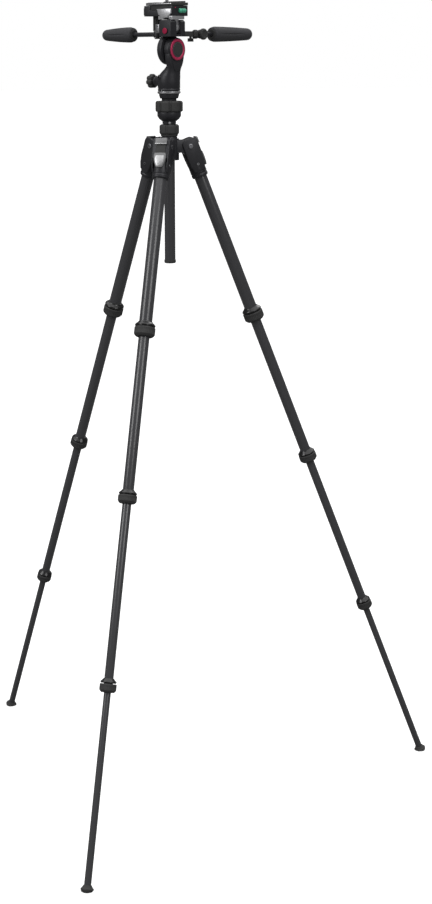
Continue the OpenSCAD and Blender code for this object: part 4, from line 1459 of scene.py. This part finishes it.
class TRIPOD_OT_stage(Piece):
    """Pale floor, soft lights and the camera"""

    bl_idname = "tripod.stage"
    bl_label = "Stage"

    camera_spot = (0.8969, -2.9917, 1.3208)
    camera_turn = (-17.62, 8.135, -0.506)  # yaw, downward pitch and roll in degrees
    camera_lens = 70.67
    camera_shift = (0.0820, -0.1626)

    def build(self):
        self.camera()
        self.floor()
        self.light("key", (-2.6, -2.8, 2.6), (0, 0, 0.9), 1.8, 60)
        self.light("fill", (2.6, -2.2, 2.4), (0, 0, 0.9), 1.6, 38)
        self.light("back", (0.4, 3.0, 3.0), (0, 0, 1.0), 2.0, 30)
        self.sky()

    def sky(self):
        """White behind the object, dimmer as a light, with a broad soft lamp overhead."""
        data = bpy.data.lights.new("ceiling", "SUN")
        data.energy = 2.9
        data.angle = math.radians(100)
        linked("ceiling", data)
        world = bpy.context.scene.world or bpy.data.worlds.new("studio")
        bpy.context.scene.world = world
        world.use_nodes = True
        tree = world.node_tree
        seen = node(tree, "ShaderNodeLightPath").outputs["Is Camera Ray"]
        strength = node(tree, "ShaderNodeMapRange", in_3=0.14, in_4=1.0)
        tree.links.new(seen, strength.inputs[0])
        tree.nodes["Background"].inputs[0].default_value = (1.0, 1.0, 1.0, 1)
        tree.links.new(strength.outputs[0], tree.nodes["Background"].inputs[1])
        bpy.context.scene.view_settings.view_transform = "Standard"

    def camera(self):
        data = bpy.data.cameras.new("camera")
        camera = linked("camera", data)
        yaw, pitch, roll = (math.radians(a) for a in self.camera_turn)
        forward = Vector((math.sin(yaw) * math.cos(pitch), math.cos(yaw) * math.cos(pitch), -math.sin(pitch)))
        right = Vector((math.cos(yaw), -math.sin(yaw), 0))
        up = right.cross(forward)
        right, up = right * math.cos(roll) + up * math.sin(roll), up * math.cos(roll) - right * math.sin(roll)
        camera.matrix_world = Matrix((right, up, -forward)).transposed().to_4x4()
        camera.matrix_world.translation = Vector(self.camera_spot)
        data.sensor_width = 36
        data.lens = self.camera_lens
        data.shift_x, data.shift_y = self.camera_shift
        data.clip_end = 60
        bpy.context.scene.camera = camera

    def floor(self):
        bm = bmesh.new()
        bmesh.ops.create_grid(bm, x_segments=4, y_segments=4, size=60)
        floor = from_bmesh("floor", bm, Matrix.Translation((0, 4, -0.0005)))
        material = bpy.data.materials.new("floor_paper")
        material.use_nodes = True
        tree = material.node_tree
        tree.nodes.remove(tree.nodes["Principled BSDF"])
        seen = node(tree, "ShaderNodeLightPath").outputs["Is Camera Ray"]
        paper = node(tree, "ShaderNodeBsdfDiffuse", in_0=(0.55, 0.55, 0.55, 1))
        dark = node(tree, "ShaderNodeBsdfDiffuse", in_0=(0.16, 0.16, 0.16, 1))
        glow = node(tree, "ShaderNodeEmission", in_0=(1, 1, 1, 1), in_1=0.62)
        both = node(tree, "ShaderNodeAddShader")
        pick = node(tree, "ShaderNodeMixShader")
        tree.links.new(paper.outputs[0], both.inputs[0])
        tree.links.new(glow.outputs[0], both.inputs[1])
        tree.links.new(seen, pick.inputs[0])
        tree.links.new(dark.outputs[0], pick.inputs[1])
        tree.links.new(both.outputs[0], pick.inputs[2])
        tree.links.new(pick.outputs[0], tree.nodes["Material Output"].inputs[0])
        floor.data.materials.append(material)

    def light(self, name, spot, aim, size, power):
        data = bpy.data.lights.new(name, "AREA")
        data.shape = "SQUARE"
        data.size = size
        data.energy = power
        lamp = linked(name, data)
        lamp.location = spot
        lamp.rotation_euler = (Vector(aim) - Vector(spot)).to_track_quat("-Z", "Y").to_euler()


class TRIPOD_PT_panel(bpy.types.Panel):
    """Lists the tripod's settings and pieces"""

    bl_idname = "TRIPOD_PT_panel"
    bl_label = "Travel tripod"
    bl_space_type = "VIEW_3D"
    bl_region_type = "UI"
    bl_category = "Tripod"

    def draw(self, context):
        for prop in TripodLooks.__annotations__:
            self.layout.prop(context.scene.tripod_looks, prop)
        for piece in PIECES:
            self.layout.operator(piece.bl_idname)


PIECES = (
    TRIPOD_OT_stage,
    TRIPOD_OT_tubes,
    TRIPOD_OT_locks,
    TRIPOD_OT_castings,
    TRIPOD_OT_feet,
    TRIPOD_OT_column,
    TRIPOD_OT_levelling,
    TRIPOD_OT_head,
    TRIPOD_OT_handles,
    TRIPOD_OT_platform,
    TRIPOD_OT_plate,
)


def register():
    for cls in (TripodLooks, *PIECES, TRIPOD_PT_panel):
        bpy.utils.register_class(cls)
    bpy.types.Scene.tripod_looks = bpy.props.PointerProperty(type=TripodLooks)


def unregister():
    del bpy.types.Scene.tripod_looks
    for cls in reversed((TripodLooks, *PIECES, TRIPOD_PT_panel)):
        bpy.utils.unregister_class(cls)


def main():
    register()
    for piece in PIECES:
        group, name = piece.bl_idname.split(".")
        getattr(getattr(bpy.ops, group), name)()


if __name__ == "__main__":
    main()
